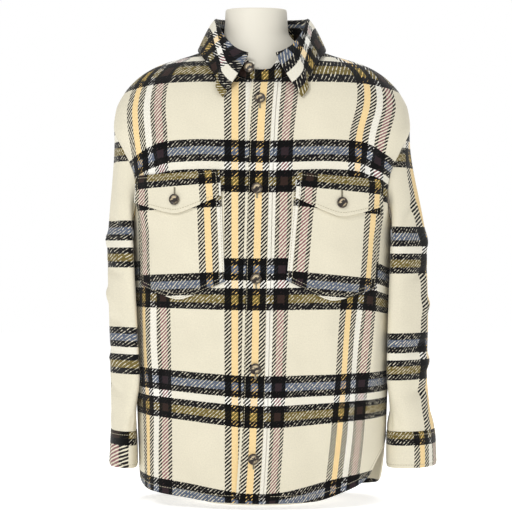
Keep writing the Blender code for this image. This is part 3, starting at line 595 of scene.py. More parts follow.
# Fronts, placket and back
fronts = {
    "placketWidth": 0.0425, "lapGap": 0.0006, "placketWall": 0.0026, "underlapShort": 0.006,
    "panelStep": 0.0012, "stepFade": 0.045, "bandTop": 0.5827,
    "leftColumns": 70, "placketColumns": 12, "rightColumns": 66, "rim": 0.0006, "placketRim": 0.0009,
    # heights from the band top up, and their places in the cut
    "shoulders": ((0.5827, 0.679, 0.691, 0.702, 0.722, 0.742, 0.78),
                  (0.0, -0.1041, -0.1132, -0.1215, -0.1436, -0.1761, -0.24)),
    "placketEdge": Table("level across", [(0.010, -0.0420), (0.126, -0.0351), (0.410, -0.0288),
                                          (0.600, -0.0241), (0.742, -0.0169)]),
    # how much the stripes crowd, by height
    "crowding": Table("height left right", [(0.00, 0.05, 0.26), (0.11, 0.045, 0.20), (0.27, 0.015, 0.115),
                                            (0.45, 0.0, 0.01), (0.58, 0.0, 0.024), (0.645, -0.035, -0.06),
                                            (0.70, -0.04, -0.09), (0.76, -0.04, -0.10)]),
    # how far the bands sink towards the armholes and rise towards the hem's sides, by distance from the
    # centre front, and the share of each by height, left and right
    "sink": Table("distance sink rise", [
        (0.0, 0.0, 0.0),
        (0.03, -0.001, 0.001),
        (0.06, -0.002, 0.004),
        (0.10, -0.003, 0.009),
        (0.135, -0.002, 0.013),
        (0.16, 0.0005, 0.0155), (0.181, 0.006, 0.017), (0.205, 0.0157, 0.0185), (0.228, 0.0254, 0.020),
        (0.26, 0.033, 0.022), (0.40, 0.033, 0.028)]),
    "sinkShare": Table("height left right", [
        (0.25, 0.0, 0.0), (0.33, 0.0, 0.4), (0.40, 0.2, 0.6), (0.50, 0.75, 0.75),
        (0.54, 1.0, 1.0), (0.5827, 1.2, 1.2), (0.62, 0.9, 0.9), (0.67, 0.35, 0.35)]),
    "riseShare": Table("height left right", [
        (0.0, 1.4, 2.4),
        (0.05, 1.25, 1.9),
        (0.12, 1.0, 0.8),
        (0.21, 0.6, 0.2),
        (0.33, 0.15, 0.0),
        (0.36, 0.0, 0.0)]),
    "leftStart": 0.060, "leftAnchor": -0.0435, "placketStart": -0.0040, "rightStart": 0.039,
    # creases: start and end (distance, height), width, depth, bend
    "creases": [
        (-0.205, 0.575, -0.150, 0.505, 0.013, -0.0040, 0.006),
        (-0.232, 0.545, -0.175, 0.440, 0.012, 0.0032, -0.008),
        (-0.180, 0.640, -0.120, 0.560, 0.018, -0.0022, 0.004),
        (-0.090, 0.360, -0.110, 0.140, 0.016, 0.0020, 0.006),
        (-0.150, 0.330, -0.172, 0.090, 0.014, -0.0026, -0.005),
        (-0.205, 0.400, -0.190, 0.180, 0.014, 0.0030, 0.004),
        (0.212, 0.580, 0.160, 0.500, 0.013, -0.0045, -0.006),
        (0.238, 0.550, 0.182, 0.430, 0.012, 0.0035, 0.008),
        (0.185, 0.645, 0.118, 0.560, 0.018, -0.0024, -0.004),
        (0.105, 0.350, 0.122, 0.120, 0.016, 0.0022, -0.006),
        (0.155, 0.330, 0.150, 0.110, 0.014, -0.0030, 0.006),
        (0.200, 0.390, 0.180, 0.150, 0.014, 0.0032, -0.004),
        (0.060, 0.300, 0.070, 0.060, 0.014, -0.0016, 0.004),
        (-0.065, 0.280, -0.070, 0.050, 0.014, -0.0014, 0.004)],
}


def placketLeft(level):
    front = np.abs(denseTurns) <= math.pi / 2
    across = fronts["placketEdge"].at("across", level)
    row = np.clip(np.rint(level / denseLevels[1]).astype(int), 0, len(denseLevels) - 1)
    return np.array([np.interp(a, ringPoints[r, front, 0], girth[r, front]) for a, r in zip(across, row)])


# A panel between two edges: at each level the points lie evenly between the edges' distances round
# the body; below the blend the levels follow the hem. Creases lift or sink the outer face.
def panelGrid(start, end, columns, lift, wall, creases=()):
    levels = panelLevels()
    first, last = start(levels), end(levels)
    share = np.linspace(0, 1, columns + 1)
    distance = first[:, None] + (last - first)[:, None] * share
    level = np.repeat(levels[:, None], columns + 1, axis=1)
    turn = turnAt(level, distance)
    hem = hemLevel(turn)
    hemShare = (level - body["hemLevel"]) / (body["hemBlend"] - body["hemLevel"])
    level = np.where(hemShare < 1, hem + (body["hemBlend"] - hem) * hemShare, level)
    normal = bodyNormal(turn, level)
    points = bodyPoint(turn, level)
    raised = np.zeros(distance.shape) if lift is None else lift(distance, levels)
    toEdge = np.minimum(share, 1 - share)[None, :] * np.abs(last - first)[:, None]
    edge = np.minimum(toEdge / body["edgeFade"], 1.0)
    raised = raised + creaseHeight(distance, points[..., 2], creases) * edge
    outer = points + normal * raised[..., None]
    return {"outer": outer, "inner": outer - normal * wall,
            "distance": distance, "level": level, "first": first}


# place down the cloth: the drop below the band top, or above it the shoulders' table, less the sink near
# the armholes, plus the rise near the hem's sides
def bandPlace(grid, distance, side="left"):
    height = grid["outer"][..., 2]
    away = np.abs(distance)
    sink = fronts["sink"].at("sink", away) * fronts["sinkShare"].at(side, height)
    rise = fronts["sink"].at("rise", away) * fronts["riseShare"].at(side, height)
    above = np.interp(height, *fronts["shoulders"])
    return np.where(height > fronts["bandTop"], above, fronts["bandTop"] - height) - sink + rise


# outer and inner faces of the pieces made
pieceFaces = {}


# cloth of one piece; cut is the place along and down the flat cloth
def clothPiece(name, grid, cut, rimWidth=fronts["rim"], closed=False):
    faces = [grid["outer"], grid["inner"]]
    piece = wallObject(name + "_cloth", *faces, np.stack(cut, axis=-1), cloth, closed, rimWidth)
    pieceFaces[name] = [withClosing(face) for face in faces] if closed else faces
    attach(piece, "root")
    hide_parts(name)


def makeFronts():
    def placketRight(level):
        return placketLeft(level) + fronts["placketWidth"]

    def rightStart(level):
        return placketRight(level) + body["seamGap"]

    def besidePlacket(distance, levels):
        share = asShare((distance - rightStart(levels)[:, None]) / fronts["stepFade"])
        return fronts["panelStep"] * (1 - share) ** 2

    def overUnderlap(distance, levels):
        return np.full(distance.shape, fronts["lapGap"] + fronts["placketWall"])

    def leftEnd(level):
        return placketRight(level) - fronts["underlapShort"]

    left = panelGrid(lambda level: armholeEdge(level, -1, 1), leftEnd, fronts["leftColumns"], None,
                     body["cloth"], fronts["creases"])
    crowd = 1 + fronts["crowding"].at("left", left["outer"][..., 2])
    u = (left["distance"] - fronts["leftAnchor"]) * crowd + fronts["leftStart"] + fronts["leftAnchor"]
    clothPiece("front_left", left, [u, bandPlace(left, left["distance"])])

    band = panelGrid(placketLeft, placketRight, fronts["placketColumns"], overUnderlap, fronts["placketWall"])
    u = band["distance"] - band["first"][:, None] + fronts["placketStart"]
    clothPiece("front_placket", band, [u, bandPlace(band, band["distance"])],
               rimWidth=fronts["placketRim"])

    right = panelGrid(rightStart, lambda level: armholeEdge(level, 1, 1), fronts["rightColumns"],
                      besidePlacket, body["cloth"], fronts["creases"])
    crowd = 1 + fronts["crowding"].at("right", right["outer"][..., 2])
    u = (right["distance"] - right["first"][:, None]) * crowd + fronts["rightStart"]
    clothPiece("front_right", right, [u, bandPlace(right, right["distance"], "right")])


# creases of the back go by distance round from the centre front, on past the viewer's right, and height
back = {
    "columns": 120, "start": 0.030,
    "creases": [
        (0.330, 0.560, 0.420, 0.470, 0.016, -0.0040, 0.008),
        (0.350, 0.500, 0.440, 0.400, 0.015, 0.0032, -0.006),
        (0.780, 0.560, 0.690, 0.470, 0.016, -0.0042, -0.008),
        (0.770, 0.500, 0.670, 0.390, 0.015, 0.0034, 0.006),
        (0.470, 0.360, 0.455, 0.080, 0.018, 0.0034, 0.006),
        (0.640, 0.340, 0.660, 0.070, 0.018, -0.0030, -0.006),
        (0.555, 0.660, 0.560, 0.480, 0.020, -0.0022, 0.006),
        (0.545, 0.300, 0.540, 0.060, 0.016, 0.0020, 0.004)]}


# bands lie level on the back
def makeBack():
    def end(level):
        return armholeEdge(level, -1, -1) + 2 * distanceAt(np.full(np.shape(level), math.pi), level)

    grid = panelGrid(lambda level: armholeEdge(level, 1, -1), end, back["columns"], None, body["cloth"],
                     back["creases"])
    fromMiddle = grid["distance"] - distanceAt(np.full(grid["level"].shape, math.pi), grid["level"])
    cut = [fromMiddle + back["start"], bandPlace(grid, np.zeros_like(fromMiddle))]
    clothPiece("back", grid, cut)


makeFronts()
makeBack()
print("fronts, placket and back made")

# Sleeves and cuffs: rings whose inner and outer lines, depths and twist are given by height
sleeves = {
    "turn": math.radians(95), "roundness": 2.3, "bend": 0.030, "bendSoft": 0.005, "sag": 0.45,
    "leave": (0.078, 0.008), "arrive": (0.082, 0.022), "bandStretch": 1.08,
    "columns": 112, "topRows": 46, "topCrowd": 1.25, "lowRows": 74, "seamRows": 6.0, "foot": 0.1175,
    "cuffTop": 0.1168, "cuffFoot": 0.0580, "cuffRows": 18, "cuffWall": 0.0030, "cuffPlump": 0.0010,
    "cuffRim": 0.0010,
    # gathers above the cuff: rise, height, waves round, and how unevenly they lie
    "gatherRise": 0.030, "gatherHeight": 0.0033, "gatherWaves": 11, "gatherSway": (2, 3),
    "left": {
        "side": -1, "bandTop": 0.4583, "cuffBand": 0.060,
        # stripes by length round from the outer line: length, place in the repeat
        "stripes": ((-0.30, 0.0, 0.155, 0.40), (-0.2255, 0.0745, 0.1595, 0.4045)),
        "cuffStripes": ((-0.20, 0.0, 0.075, 0.30), (-0.156, 0.044, 0.0695, 0.2945)),
        "rings": Table("height inner outer front back toe lean", [
            (0.0550, 0.2056, 0.2515, -0.058, 0.056, 0.10, 0.20),
            (0.1170, 0.2070, 0.2488, -0.060, 0.058, 0.10, 0.20),
            (0.1500, 0.2095, 0.2490, -0.067, 0.068, 0.10, 0.30),
            (0.2080, 0.2125, 0.2502, -0.073, 0.078, 0.10, 0.50),
            (0.2850, 0.2140, 0.2518, -0.074, 0.083, 0.06, 0.50),
            (0.3950, 0.2145, 0.2546, -0.072, 0.084, 0.02, 0.46)]),
        # creases: start and end (round from the outer line, height), width, depth, bend
        "creases": [
            (0.010, 0.470, 0.085, 0.425, 0.007, -0.0034, 0.006),
            (-0.020, 0.440, 0.070, 0.395, 0.008, 0.0030, 0.008),
            (0.000, 0.395, 0.080, 0.372, 0.007, -0.0032, -0.006),
            (-0.050, 0.350, 0.060, 0.318, 0.008, 0.0028, 0.007),
            (0.010, 0.300, 0.085, 0.280, 0.007, -0.0034, 0.006),
            (-0.060, 0.275, 0.030, 0.245, 0.008, -0.0026, -0.006),
            (0.000, 0.235, 0.080, 0.222, 0.007, 0.0026, 0.005),
            (-0.020, 0.190, 0.075, 0.172, 0.007, -0.0030, 0.005),
            (-0.110, 0.330, -0.030, 0.300, 0.008, -0.0034, 0.006),
            (-0.120, 0.270, -0.040, 0.250, 0.008, 0.0030, -0.006),
            (-0.115, 0.215, -0.020, 0.200, 0.008, -0.0030, 0.005)]},
    "right": {
        "side": 1, "bandTop": 0.4485, "cuffBand": 0.060,
        "stripes": ((-0.30, 0.0, 0.049, 0.40), (0.324, 0.024, 0.0, -0.351)),
        "cuffStripes": ((-0.20, 0.0, 0.30), (0.275, 0.075, -0.225)),
        "rings": Table("height inner outer front back toe lean", [
            (0.0550, 0.2070, 0.2870, -0.060, 0.050, 0.20, 0.15),
            (0.1170, 0.2075, 0.2840, -0.062, 0.052, 0.20, 0.15),
            (0.1500, 0.2110, 0.2770, -0.067, 0.066, 0.13, 0.32),
            (0.2150, 0.2140, 0.2722, -0.072, 0.076, 0.10, 0.60),
            (0.2850, 0.2150, 0.2738, -0.074, 0.082, 0.07, 0.60),
            (0.3950, 0.2150, 0.2718, -0.073, 0.084, 0.03, 0.56)]),
        "creases": [
            (0.020, 0.500, 0.085, 0.440, 0.008, -0.0032, 0.006),
            (-0.010, 0.450, 0.080, 0.400, 0.009, 0.0028, -0.006),
            (0.000, 0.380, 0.090, 0.350, 0.008, -0.0030, 0.007),
            (-0.030, 0.330, 0.070, 0.300, 0.009, 0.0026, 0.006),
            (0.010, 0.270, 0.090, 0.250, 0.008, -0.0034, -0.006),
            (-0.040, 0.235, 0.060, 0.210, 0.009, 0.0030, 0.006),
            (0.010, 0.185, 0.090, 0.168, 0.008, -0.0030, 0.005),
            (-0.115, 0.340, -0.030, 0.305, 0.009, -0.0034, 0.006),
            (-0.120, 0.280, -0.040, 0.255, 0.009, 0.0030, -0.006),
            (-0.110, 0.210, -0.020, 0.195, 0.009, -0.0030, 0.005)]},
}


# ring: squared cosine across and squared sine in depth, the whole turned by toe times depth, and its
# front bent in by lean times a soft ramp
def sleeveRing(plan, height, around):
    rings = plan["rings"]
    inner, outer, front, rear, toe, lean = (rings.at(name, height) for name in
                                            ("inner", "outer", "front", "back", "toe", "lean"))
    power = 2.0 / sleeves["roundness"]
    wave = np.sign(np.cos(around)) * np.abs(np.cos(around)) ** power
    sweep = np.sign(np.sin(around)) * np.abs(np.sin(around)) ** power
    depth = np.where(sweep > 0, front * sweep, -rear * sweep)
    ahead = -depth - sleeves["bend"]
    bent = (ahead + np.sqrt(ahead ** 2 + sleeves["bendSoft"] ** 2)) / 2
    across = (inner + outer) / 2 + (outer - inner) / 2 * wave + toe * depth - lean * bent
    return np.stack(np.broadcast_arrays(plan["side"] * across, depth, height), axis=-1)


# top of a sleeve: at each turn a cubic curve that leaves the armhole's edge and arrives straight down
def sleeveTop(plan, around, shares):
    side = plan["side"]
    levels = armholeMiddle + armholeHalf * np.cos(around)
    sideLine = distanceAt(np.full(levels.shape, side * math.pi / 2), levels)
    turn = turnAt(levels, sideLine - side * body["armholeReach"] * np.sin(around))
    edge, out = bodyPoint(turn, levels), bodyNormal(turn, levels)
    along = unit(np.roll(edge, -1, axis=0) - np.roll(edge, 1, axis=0))
    into = unit(np.cross(out, along))
    into = into * np.sign(np.sum(into * (edge.mean(axis=0) - edge), axis=1))[:, None]
    under = (1 - np.cos(around)) / 2
    turned = (sleeves["turn"] * under)[:, None]
    leave = np.cos(turned) * into + np.sin(turned) * out
    start = edge + body["seamGap"] * leave
    sag = (sleeves["sag"] * np.sin(around) ** 2)[:, None]
    leave = unit(leave * (1 - sag) - straightUp * sag)
    firstHandle = sleeves["leave"][1] + (sleeves["leave"][0] - sleeves["leave"][1]) * (1 - under) ** 2
    lastHandle = sleeves["arrive"][1] + (sleeves["arrive"][0] - sleeves["arrive"][1]) * (1 - under)
    finish = sleeveRing(plan, plan["rings"].place[-1], around)
    second = start + firstHandle[:, None] * leave
    third = finish + lastHandle[:, None] * straightUp
    return cubic(shares[:, None, None], start, second, third, finish)


def outwardNormals(grid):
    normals = gridNormals(grid, True)
    if np.sum(normals * (grid - grid.mean(axis=1, keepdims=True))) < 0:
        normals = -normals
    return normals


# length round each ring from its outer line, negative on one side, with the closing column added
def lengthRound(grid):
    length = lengthAlong(withClosing(grid), 1)
    return length - length[:, [grid.shape[1] // 2]]


def makeSleeve(name):
    plan = sleeves[name]
    around = np.linspace(-math.pi, math.pi, sleeves["columns"], endpoint=False)
    shares = np.linspace(0, 1, sleeves["topRows"]) ** sleeves["topCrowd"]
    heights = np.linspace(plan["rings"].place[-1], sleeves["foot"], sleeves["lowRows"])[1:]
    grid = np.concatenate([sleeveTop(plan, around, shares),
                           sleeveRing(plan, heights[:, None], around[None, :])])
    normals = outwardNormals(grid)
    height = grid[..., 2]
    roundPlace = lengthRound(grid)[:, :-1]
    seamward = asShare(np.arange(len(grid))[:, None] / sleeves["seamRows"])
    lift = creaseHeight(roundPlace, height, plan["creases"]) * seamward
    gather = asShare((sleeves["foot"] + sleeves["gatherRise"] - height) / sleeves["gatherRise"])
    sway, swayWaves = sleeves["gatherSway"]
    waves = np.sin(around * sleeves["gatherWaves"] + sway * np.sin(around * swayWaves))
    lift = lift + sleeves["gatherHeight"] * waves * gather * (1 - gather)
    outer = grid + normals * lift[..., None]
    u = np.interp(lengthRound(outer), *plan["stripes"])
    cut = [u, (plan["bandTop"] - withClosing(height)) * sleeves["bandStretch"]]
    shell = {"outer": outer, "inner": outer - normals * body["cloth"]}
    clothPiece("sleeve_" + name, shell, cut, closed=True)

    heights = np.linspace(sleeves["cuffTop"], sleeves["cuffFoot"], sleeves["cuffRows"])
    band = sleeveRing(plan, heights[:, None], around[None, :])
    normals = unit(outwardNormals(band) * np.array([1.0, 1.0, 0.0]))
    proud = (sleeves["cuffWall"] - body["cloth"]) / 2
    across = np.linspace(-1, 1, sleeves["cuffRows"])[:, None]
    plump = sleeves["cuffPlump"] * (1 - across ** 4)
    outer = band + normals * (proud + plump)[..., None]
    u = np.interp(lengthRound(outer), *plan["cuffStripes"])
    v = plan["cuffBand"] + sleeves["cuffTop"] - withClosing(outer[..., 2])
    shell = {"outer": outer, "inner": band + normals * (proud - sleeves["cuffWall"])}
    clothPiece("cuff_" + name, shell, [u, v],
               closed=True, rimWidth=sleeves["cuffRim"])


for sleeveName in ("left", "right"):
    makeSleeve(sleeveName)
print("sleeves and cuffs made")

# Collar: a stand round the neckline and a leaf that rolls over it
collar = {
    "gap": 0.0006, "standWall": 0.0024, "standRim": 0.0008, "leafWall": 0.0026, "leafRim": 0.0010,
    "roll": 0.033, "fall": 0.50, "arch": 0.023, "rest": 0.0032,
    "bow": 0.011, "bowFade": 0.034, "bowCrowd": 1.2,
    "ends": (16.0, 344.0), "columns": 180, "leafRows": 44, "standRows": 12, "crowd": 1.35,
    # the stand's bands shift from front to back, by degrees from its ends
    "standBand": 0.074, "standBackBand": 0.084, "bothEnds": 346, "shiftFrom": 25, "shiftOver": 40,
    "backFrom": 0.10, "backFull": 0.17,
    # the leaf's cut lies askew: place in the repeats at its front end, then by length back and by fall
    "leafBands": (-0.0030, 0.231, 0.671), "leftStripes": (0.0630, -0.8724, 0.5489),
    "rightStripes": (-0.0131, 0.8770, -0.3286), "backShift": -0.038,
    "stand": Table("turn height lean", [
        (-6.7, 0.0190, 0.0020), (7, 0.0200, 0.0030), (16, 0.0310, 0.0045), (45, 0.0330, 0.0080),
        (90, 0.0360, 0.0110), (180, 0.0370, 0.0090), (270, 0.0360, 0.0110), (315, 0.0330, 0.0080),
        (344, 0.0310, 0.0045), (352.9, 0.0310, 0.0030)]),
    "edge": Table("share turn level", [
        (0.00, 10.6, 0.6890), (0.08, 17.4, 0.7080), (0.16, 27, 0.7245), (0.28, 43, 0.7320),
        (0.40, 62, 0.7353), (0.52, 86, 0.7357), (0.74, 131, 0.7313), (1.00, 180, 0.7270)])}


# foot on the neckline, top above it leaning in, and the level outward direction
def standLines(degrees):
    turns = np.radians(np.where(degrees > 180, degrees - 360, degrees))
    neck = np.full(turns.shape, body["neckLevel"])
    foot = bodyPoint(turns, neck)
    ahead = bodyPoint(turns + body["turnStep"], neck) - foot
    upSlope = unit(np.cross(bodyNormal(turns, neck), unit(ahead)))
    upSlope = upSlope * np.sign(upSlope[:, 2:3])
    outward = unit(np.stack([ahead[:, 1], -ahead[:, 0], np.zeros(len(ahead))], axis=-1))
    foot = foot + upSlope * collar["gap"]
    rise = collar["stand"].at("height", degrees)[:, None] * straightUp
    top = foot + rise - outward * collar["stand"].at("lean", degrees)[:, None]
    return foot, top, outward


def makeCollar():
    degrees = np.linspace(collar["stand"].place[0], collar["stand"].place[-1], collar["columns"] + 1)
    foot, top, outward = standLines(degrees)
    share = np.linspace(0, 1, collar["standRows"])[:, None, None]
    outer = foot * (1 - share) + top * share
    u = np.broadcast_to(lengthAlong(foot, 0), outer.shape[:2])
    fromEnd = np.minimum(degrees, collar["bothEnds"] - degrees)
    shift = asShare((fromEnd - collar["shiftFrom"]) / collar["shiftOver"])
    band = collar["standBand"] + (collar["standBackBand"] - collar["standBand"]) * shift
    v = band - share[..., 0] * collar["stand"].at("height", degrees)
    grid = {"outer": outer, "inner": outer - outward * collar["standWall"]}
    clothPiece("collar_stand", grid, [u, v], rimWidth=collar["standRim"])

    # leaf: at each place round, a cubic curve up from the stand, over, and down to its edge on the shoulders
    degrees = np.linspace(*collar["ends"], collar["columns"] + 1)
    fromEnd = 1 - np.abs(degrees - 180) / (180 - collar["ends"][0])
    side = np.where(degrees <= 180, 1, -1)
    foot, top, outward = standLines(degrees)
    start = top - outward * collar["standWall"] + straightUp * collar["gap"]
    edgeTurn = side * np.radians(collar["edge"].at("turn", fromEnd))
    edgeLevel = collar["edge"].at("level", fromEnd)
    edgeNormal = bodyNormal(edgeTurn, edgeLevel)
    edge = bodyPoint(edgeTurn, edgeLevel) + edgeNormal * (collar["leafWall"] + collar["rest"])
    second = start + straightUp * collar["roll"]
    third = start + (edge - start) * collar["fall"] + straightUp * collar["arch"]
    share = (np.linspace(0, 1, collar["leafRows"]) ** collar["crowd"])[:, None, None]
    outer = cubic(share, start, second, third, edge)
    # front edges bow towards the centre between the roll and the tip
    ends = np.linalg.norm(outer - np.where(side[None, :, None] > 0, outer[:, :1], outer[:, -1:]), axis=2)
    near = asShare(1 - ends / collar["bowFade"]) ** 2
    outer[..., 0] -= side * collar["bow"] * near * np.sin(np.pi * share[..., 0] ** collar["bowCrowd"])
    normals = gridNormals(outer)
    if np.sum(normals[-1] * edgeNormal) < 0:
        normals = -normals
    length = lengthAlong(outer, 1)
    fromFront = np.minimum(length, length[:, -1:] - length)
    fallLength = lengthAlong(outer, 0)
    toBack = eased(asShare((fromFront - collar["backFrom"]) / (collar["backFull"] - collar["backFrom"])))
    start, along, down = collar["leafBands"]
    v = start + along * np.minimum(fromFront, collar["backFrom"]) + down * fallLength
    stripes = {}
    for name in ("left", "right"):
        start, along, down = collar[name + "Stripes"]
        stripes[name] = start + along * fromFront + down * fallLength * (1 - toBack)
    u = np.where(side > 0, stripes["right"] + collar["backShift"] * toBack, stripes["left"])
    grid = {"outer": outer, "inner": outer - normals * collar["leafWall"]}
    clothPiece("collar_leaf", grid, [u, v], rimWidth=collar["leafRim"])


makeCollar()
print("collar made")

# Pockets and flaps, laid on the fronts: across from the inner top corner, and down
pockets = {
    "width": 0.151, "mouth": 0.013, "side": 0.176, "point": 0.2015, "lift": 0.0009, "wall": 0.0020,
    "columns": 62, "rows": 76, "round": 0.16, "stretch": 1.05,
    # the pocket swells below the flap and less towards its edges
    "bulge": 0.0022, "bulgeFrom": 0.072, "bulgeRise": 0.05, "bulgeFade": 0.030, "bulgeShape": 1.5,
    "flapWidth": 0.148, "flapSide": 0.0435, "flapPoint": 0.067, "flapWall": 0.0024, "flapRim": 0.0009,
    "flapRows": 30, "clear": 0.0036, "curl": 0.0020, "rise": 0.011, "buttonDown": 0.0445,
    # pocket and flap: level of the inner top corner, and tilt in degrees
    "left": {"side": -1, "across": 0.0660, "pocket": (0.5365, 2.2), "flap": (0.5418, 4.1),
             "pocketStripe": 0.041, "flapStripe": 0.0355, "pocketBand": -0.1607, "flapBand": 0.0595},
    "right": {"side": 1, "across": 0.0541, "pocket": (0.5380, 5.2), "flap": (0.5380, 5.2),
              "pocketStripe": 0.0361, "flapStripe": 0.0361, "pocketBand": -0.1607, "flapBand": 0.0575}}


# a place on a front: the body's point with the front's creases, moved out along its normal
def onFront(plan, piece, across, down, lift):
    top, tilt = plan[piece]
    tilt = math.radians(tilt)
    level = top - across * math.sin(tilt) - down * math.cos(tilt)
    distance = plan["side"] * (plan["across"] + across * math.cos(tilt) - down * math.sin(tilt))
    turn = turnAt(level, distance)
    normal = bodyNormal(turn, level)
    points = bodyPoint(turn, level)
    toEdge = np.abs(armholeEdge(level, plan["side"], 1) - distance)
    edge = asShare(toEdge / body["edgeFade"])
    raised = creaseHeight(distance, points[..., 2], fronts["creases"]) * edge + lift
    return points + normal * raised[..., None], normal


# lower edge that falls from both sides to a point, softened in the middle
def pointedEdge(across, width, sideLength, pointLength):
    away = 2 * across / width - 1
    soft = np.sqrt(away ** 2 + pockets["round"] ** 2) - pockets["round"]
    whole = math.sqrt(1 + pockets["round"] ** 2) - pockets["round"]
    return pointLength - (pointLength - sideLength) * soft / whole


# rises over the pocket's mouth below the sewn edge, then curls a little at the free edge
def flapLift(down, bottom):
    rise = eased(asShare(down / pockets["rise"]))
    free = asShare((down - pockets["mouth"]) / (bottom - pockets["mouth"]))
    over = pockets["lift"] + (pockets["clear"] - pockets["lift"]) * rise
    return over + pockets["curl"] * free ** 2 + pockets["flapWall"]


def makePocket(name):
    plan = pockets[name]
    across = np.linspace(0, pockets["width"], pockets["columns"])
    bottom = pointedEdge(across, pockets["width"], pockets["side"], pockets["point"])
    share = np.linspace(0, 1, pockets["rows"])[:, None]
    down = pockets["mouth"] + (bottom - pockets["mouth"]) * share
    wide = np.broadcast_to(across, down.shape)
    inward = asShare(np.minimum(across, pockets["width"] - across) / pockets["bulgeFade"])
    below = asShare((down - pockets["bulgeFrom"]) / pockets["bulgeRise"])
    above = asShare((bottom - down) / pockets["bulgeFade"])
    hump = pockets["bulge"] * (inward * (below * above)) ** pockets["bulgeShape"]
    outer, normal = onFront(plan, "pocket", wide, down, pockets["lift"] + pockets["wall"] + hump)
    u = plan["pocketStripe"] + plan["side"] * wide * pockets["stretch"]
    grid = {"outer": outer, "inner": outer - normal * pockets["wall"]}
    clothPiece("pocket_" + name, grid, [u, down + plan["pocketBand"]])

    inset = (pockets["width"] - pockets["flapWidth"]) / 2
    across = np.linspace(0, pockets["flapWidth"], pockets["columns"])
    bottom = pointedEdge(across, pockets["flapWidth"], pockets["flapSide"], pockets["flapPoint"])
    down = bottom * np.linspace(0, 1, pockets["flapRows"])[:, None]
    wide = np.broadcast_to(across, down.shape)
    outer, normal = onFront(plan, "flap", wide + inset, down, flapLift(down, bottom))
    u = plan["flapStripe"] + plan["side"] * wide * pockets["stretch"]
    grid = {"outer": outer, "inner": outer - normal * pockets["flapWall"]}
    clothPiece("flap_" + name, grid, [u, down + plan["flapBand"]],
               rimWidth=pockets["flapRim"])


for pocketName in ("left", "right"):
    makePocket(pocketName)
print("pockets and flaps made")

# Dress form: squared ovals by height, straight between its rows below the neckline and smooth above it
form = {
    "columns": 96, "neckFrom": 0.7386, "neckRows": 30, "edge": 0.0020, "edgeTurns": (30, 60, 90),
    # how far the foot and the flat top are drawn in
    "footMargin": 0.060, "topMargins": (0.012, 0.030, 0.0505),
    "colour": (222, 217, 203), "roughness": 0.6, "toneScale": 9.0, "tone": (0.06, 0.97),
    "rings": Table("height halfWidth front back frontDrop backDrop shift squareness", [
        (0.0000, 0.0940, 0.0740, 0.0760, 0.000, 0.000, -0.0040, 2.1),
        (0.0060, 0.1000, 0.0790, 0.0810, 0.000, 0.000, -0.0040, 2.1),
        (0.0600, 0.1300, 0.0940, 0.0980, 0.000, 0.000, -0.0040, 2.1),
        (0.1300, 0.1530, 0.1020, 0.1060, 0.000, 0.000, -0.0040, 2.1),
        (0.2300, 0.1470, 0.0960, 0.0970, 0.000, 0.000, -0.0040, 2.1),
        (0.3300, 0.1400, 0.0930, 0.0900, 0.000, 0.000, -0.0040, 2.1),
        (0.4500, 0.1560, 0.1030, 0.0980, 0.000, 0.000, -0.0030, 2.2),
        (0.5400, 0.1680, 0.1050, 0.1020, 0.006, 0.003, -0.0020, 2.3),
        (0.6200, 0.1820, 0.1000, 0.1000, 0.020, 0.008, 0.0000, 2.6),
        (0.6700, 0.1900, 0.0960, 0.0960, 0.034, 0.010, 0.0000, 2.7),
        (0.7019, 0.1850, 0.0925, 0.0930, 0.046, 0.010, 0.0000, 2.7),
        (0.7149, 0.1580, 0.0885, 0.0880, 0.052, 0.008, 0.0000, 2.5),
        (0.7268, 0.1180, 0.0835, 0.0790, 0.058, 0.004, 0.0000, 2.3),
        (0.7386, 0.0830, 0.0765, 0.0640, 0.060, 0.000, -0.0020, 2.2),
        (0.7520, 0.0640, 0.0640, 0.0580, 0.032, 0.000, -0.0070, 2.1),
        (0.7700, 0.0530, 0.0560, 0.0540, 0.008, 0.000, -0.0095, 2.0),
        (0.8065, 0.0505, 0.0530, 0.0530, 0.003, -0.002, -0.0095, 2.0)])}


# one ring of the form, drawn in by a margin
def formRing(turns, height, margin):
    rings = form["rings"]
    across, depth = oval(turns, rings.at("halfWidth", height) - margin, rings.at("front", height) - margin,
                         rings.at("back", height) - margin, rings.at("squareness", height))
    drop = np.where(np.cos(turns) > 0, rings.at("frontDrop", height), rings.at("backDrop", height))
    drop = drop * np.abs(np.cos(turns)) ** body["dropShape"]
    return np.stack([across + rings.at("shift", height), depth, height - drop], axis=-1)


# ivory: one colour, dimmed a little by noise
def ivory():
    shade = Shade("form_ivory")
    place = shade.node("ShaderNodeTexCoord", None, None, "Object")
    much, least = form["tone"]
    tone = shade.noise(place, form["toneScale"], 3.0) * much + least
    shade.set(Base_Color=shade.dimmed(shade.flat(form["colour"]), tone), Roughness=form["roughness"])
    return shade.material


def makeForm():
    turns = np.linspace(-math.pi, math.pi, form["columns"], endpoint=False)
    places = form["rings"].place
    heights = np.concatenate([places[places < form["neckFrom"]],
                              np.linspace(form["neckFrom"], places[-1] - form["edge"], form["neckRows"])])
    grid = [formRing(turns, 0.0, form["footMargin"]) * np.array([1, 1, 0.0])]
    grid += [formRing(turns, height, 0.0) for height in heights]
    # rounded top edge, then a flat top
    for turn in np.radians(form["edgeTurns"]):
        height = places[-1] - form["edge"] * (1 - math.sin(turn))
        grid.append(formRing(turns, height, form["edge"] * (1 - math.cos(turn))))
    for margin in form["topMargins"]:
        grid.append(formRing(turns, places[-1], margin))
    grid = np.array(grid)
    quads = gridQuads(len(grid), form["columns"], True)
    thing = meshObject("dress_form_smooth", grid.reshape(-1, 3), quads, ivory())
    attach(thing, "root")
    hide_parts("dress_form")


makeForm()
print("form made")

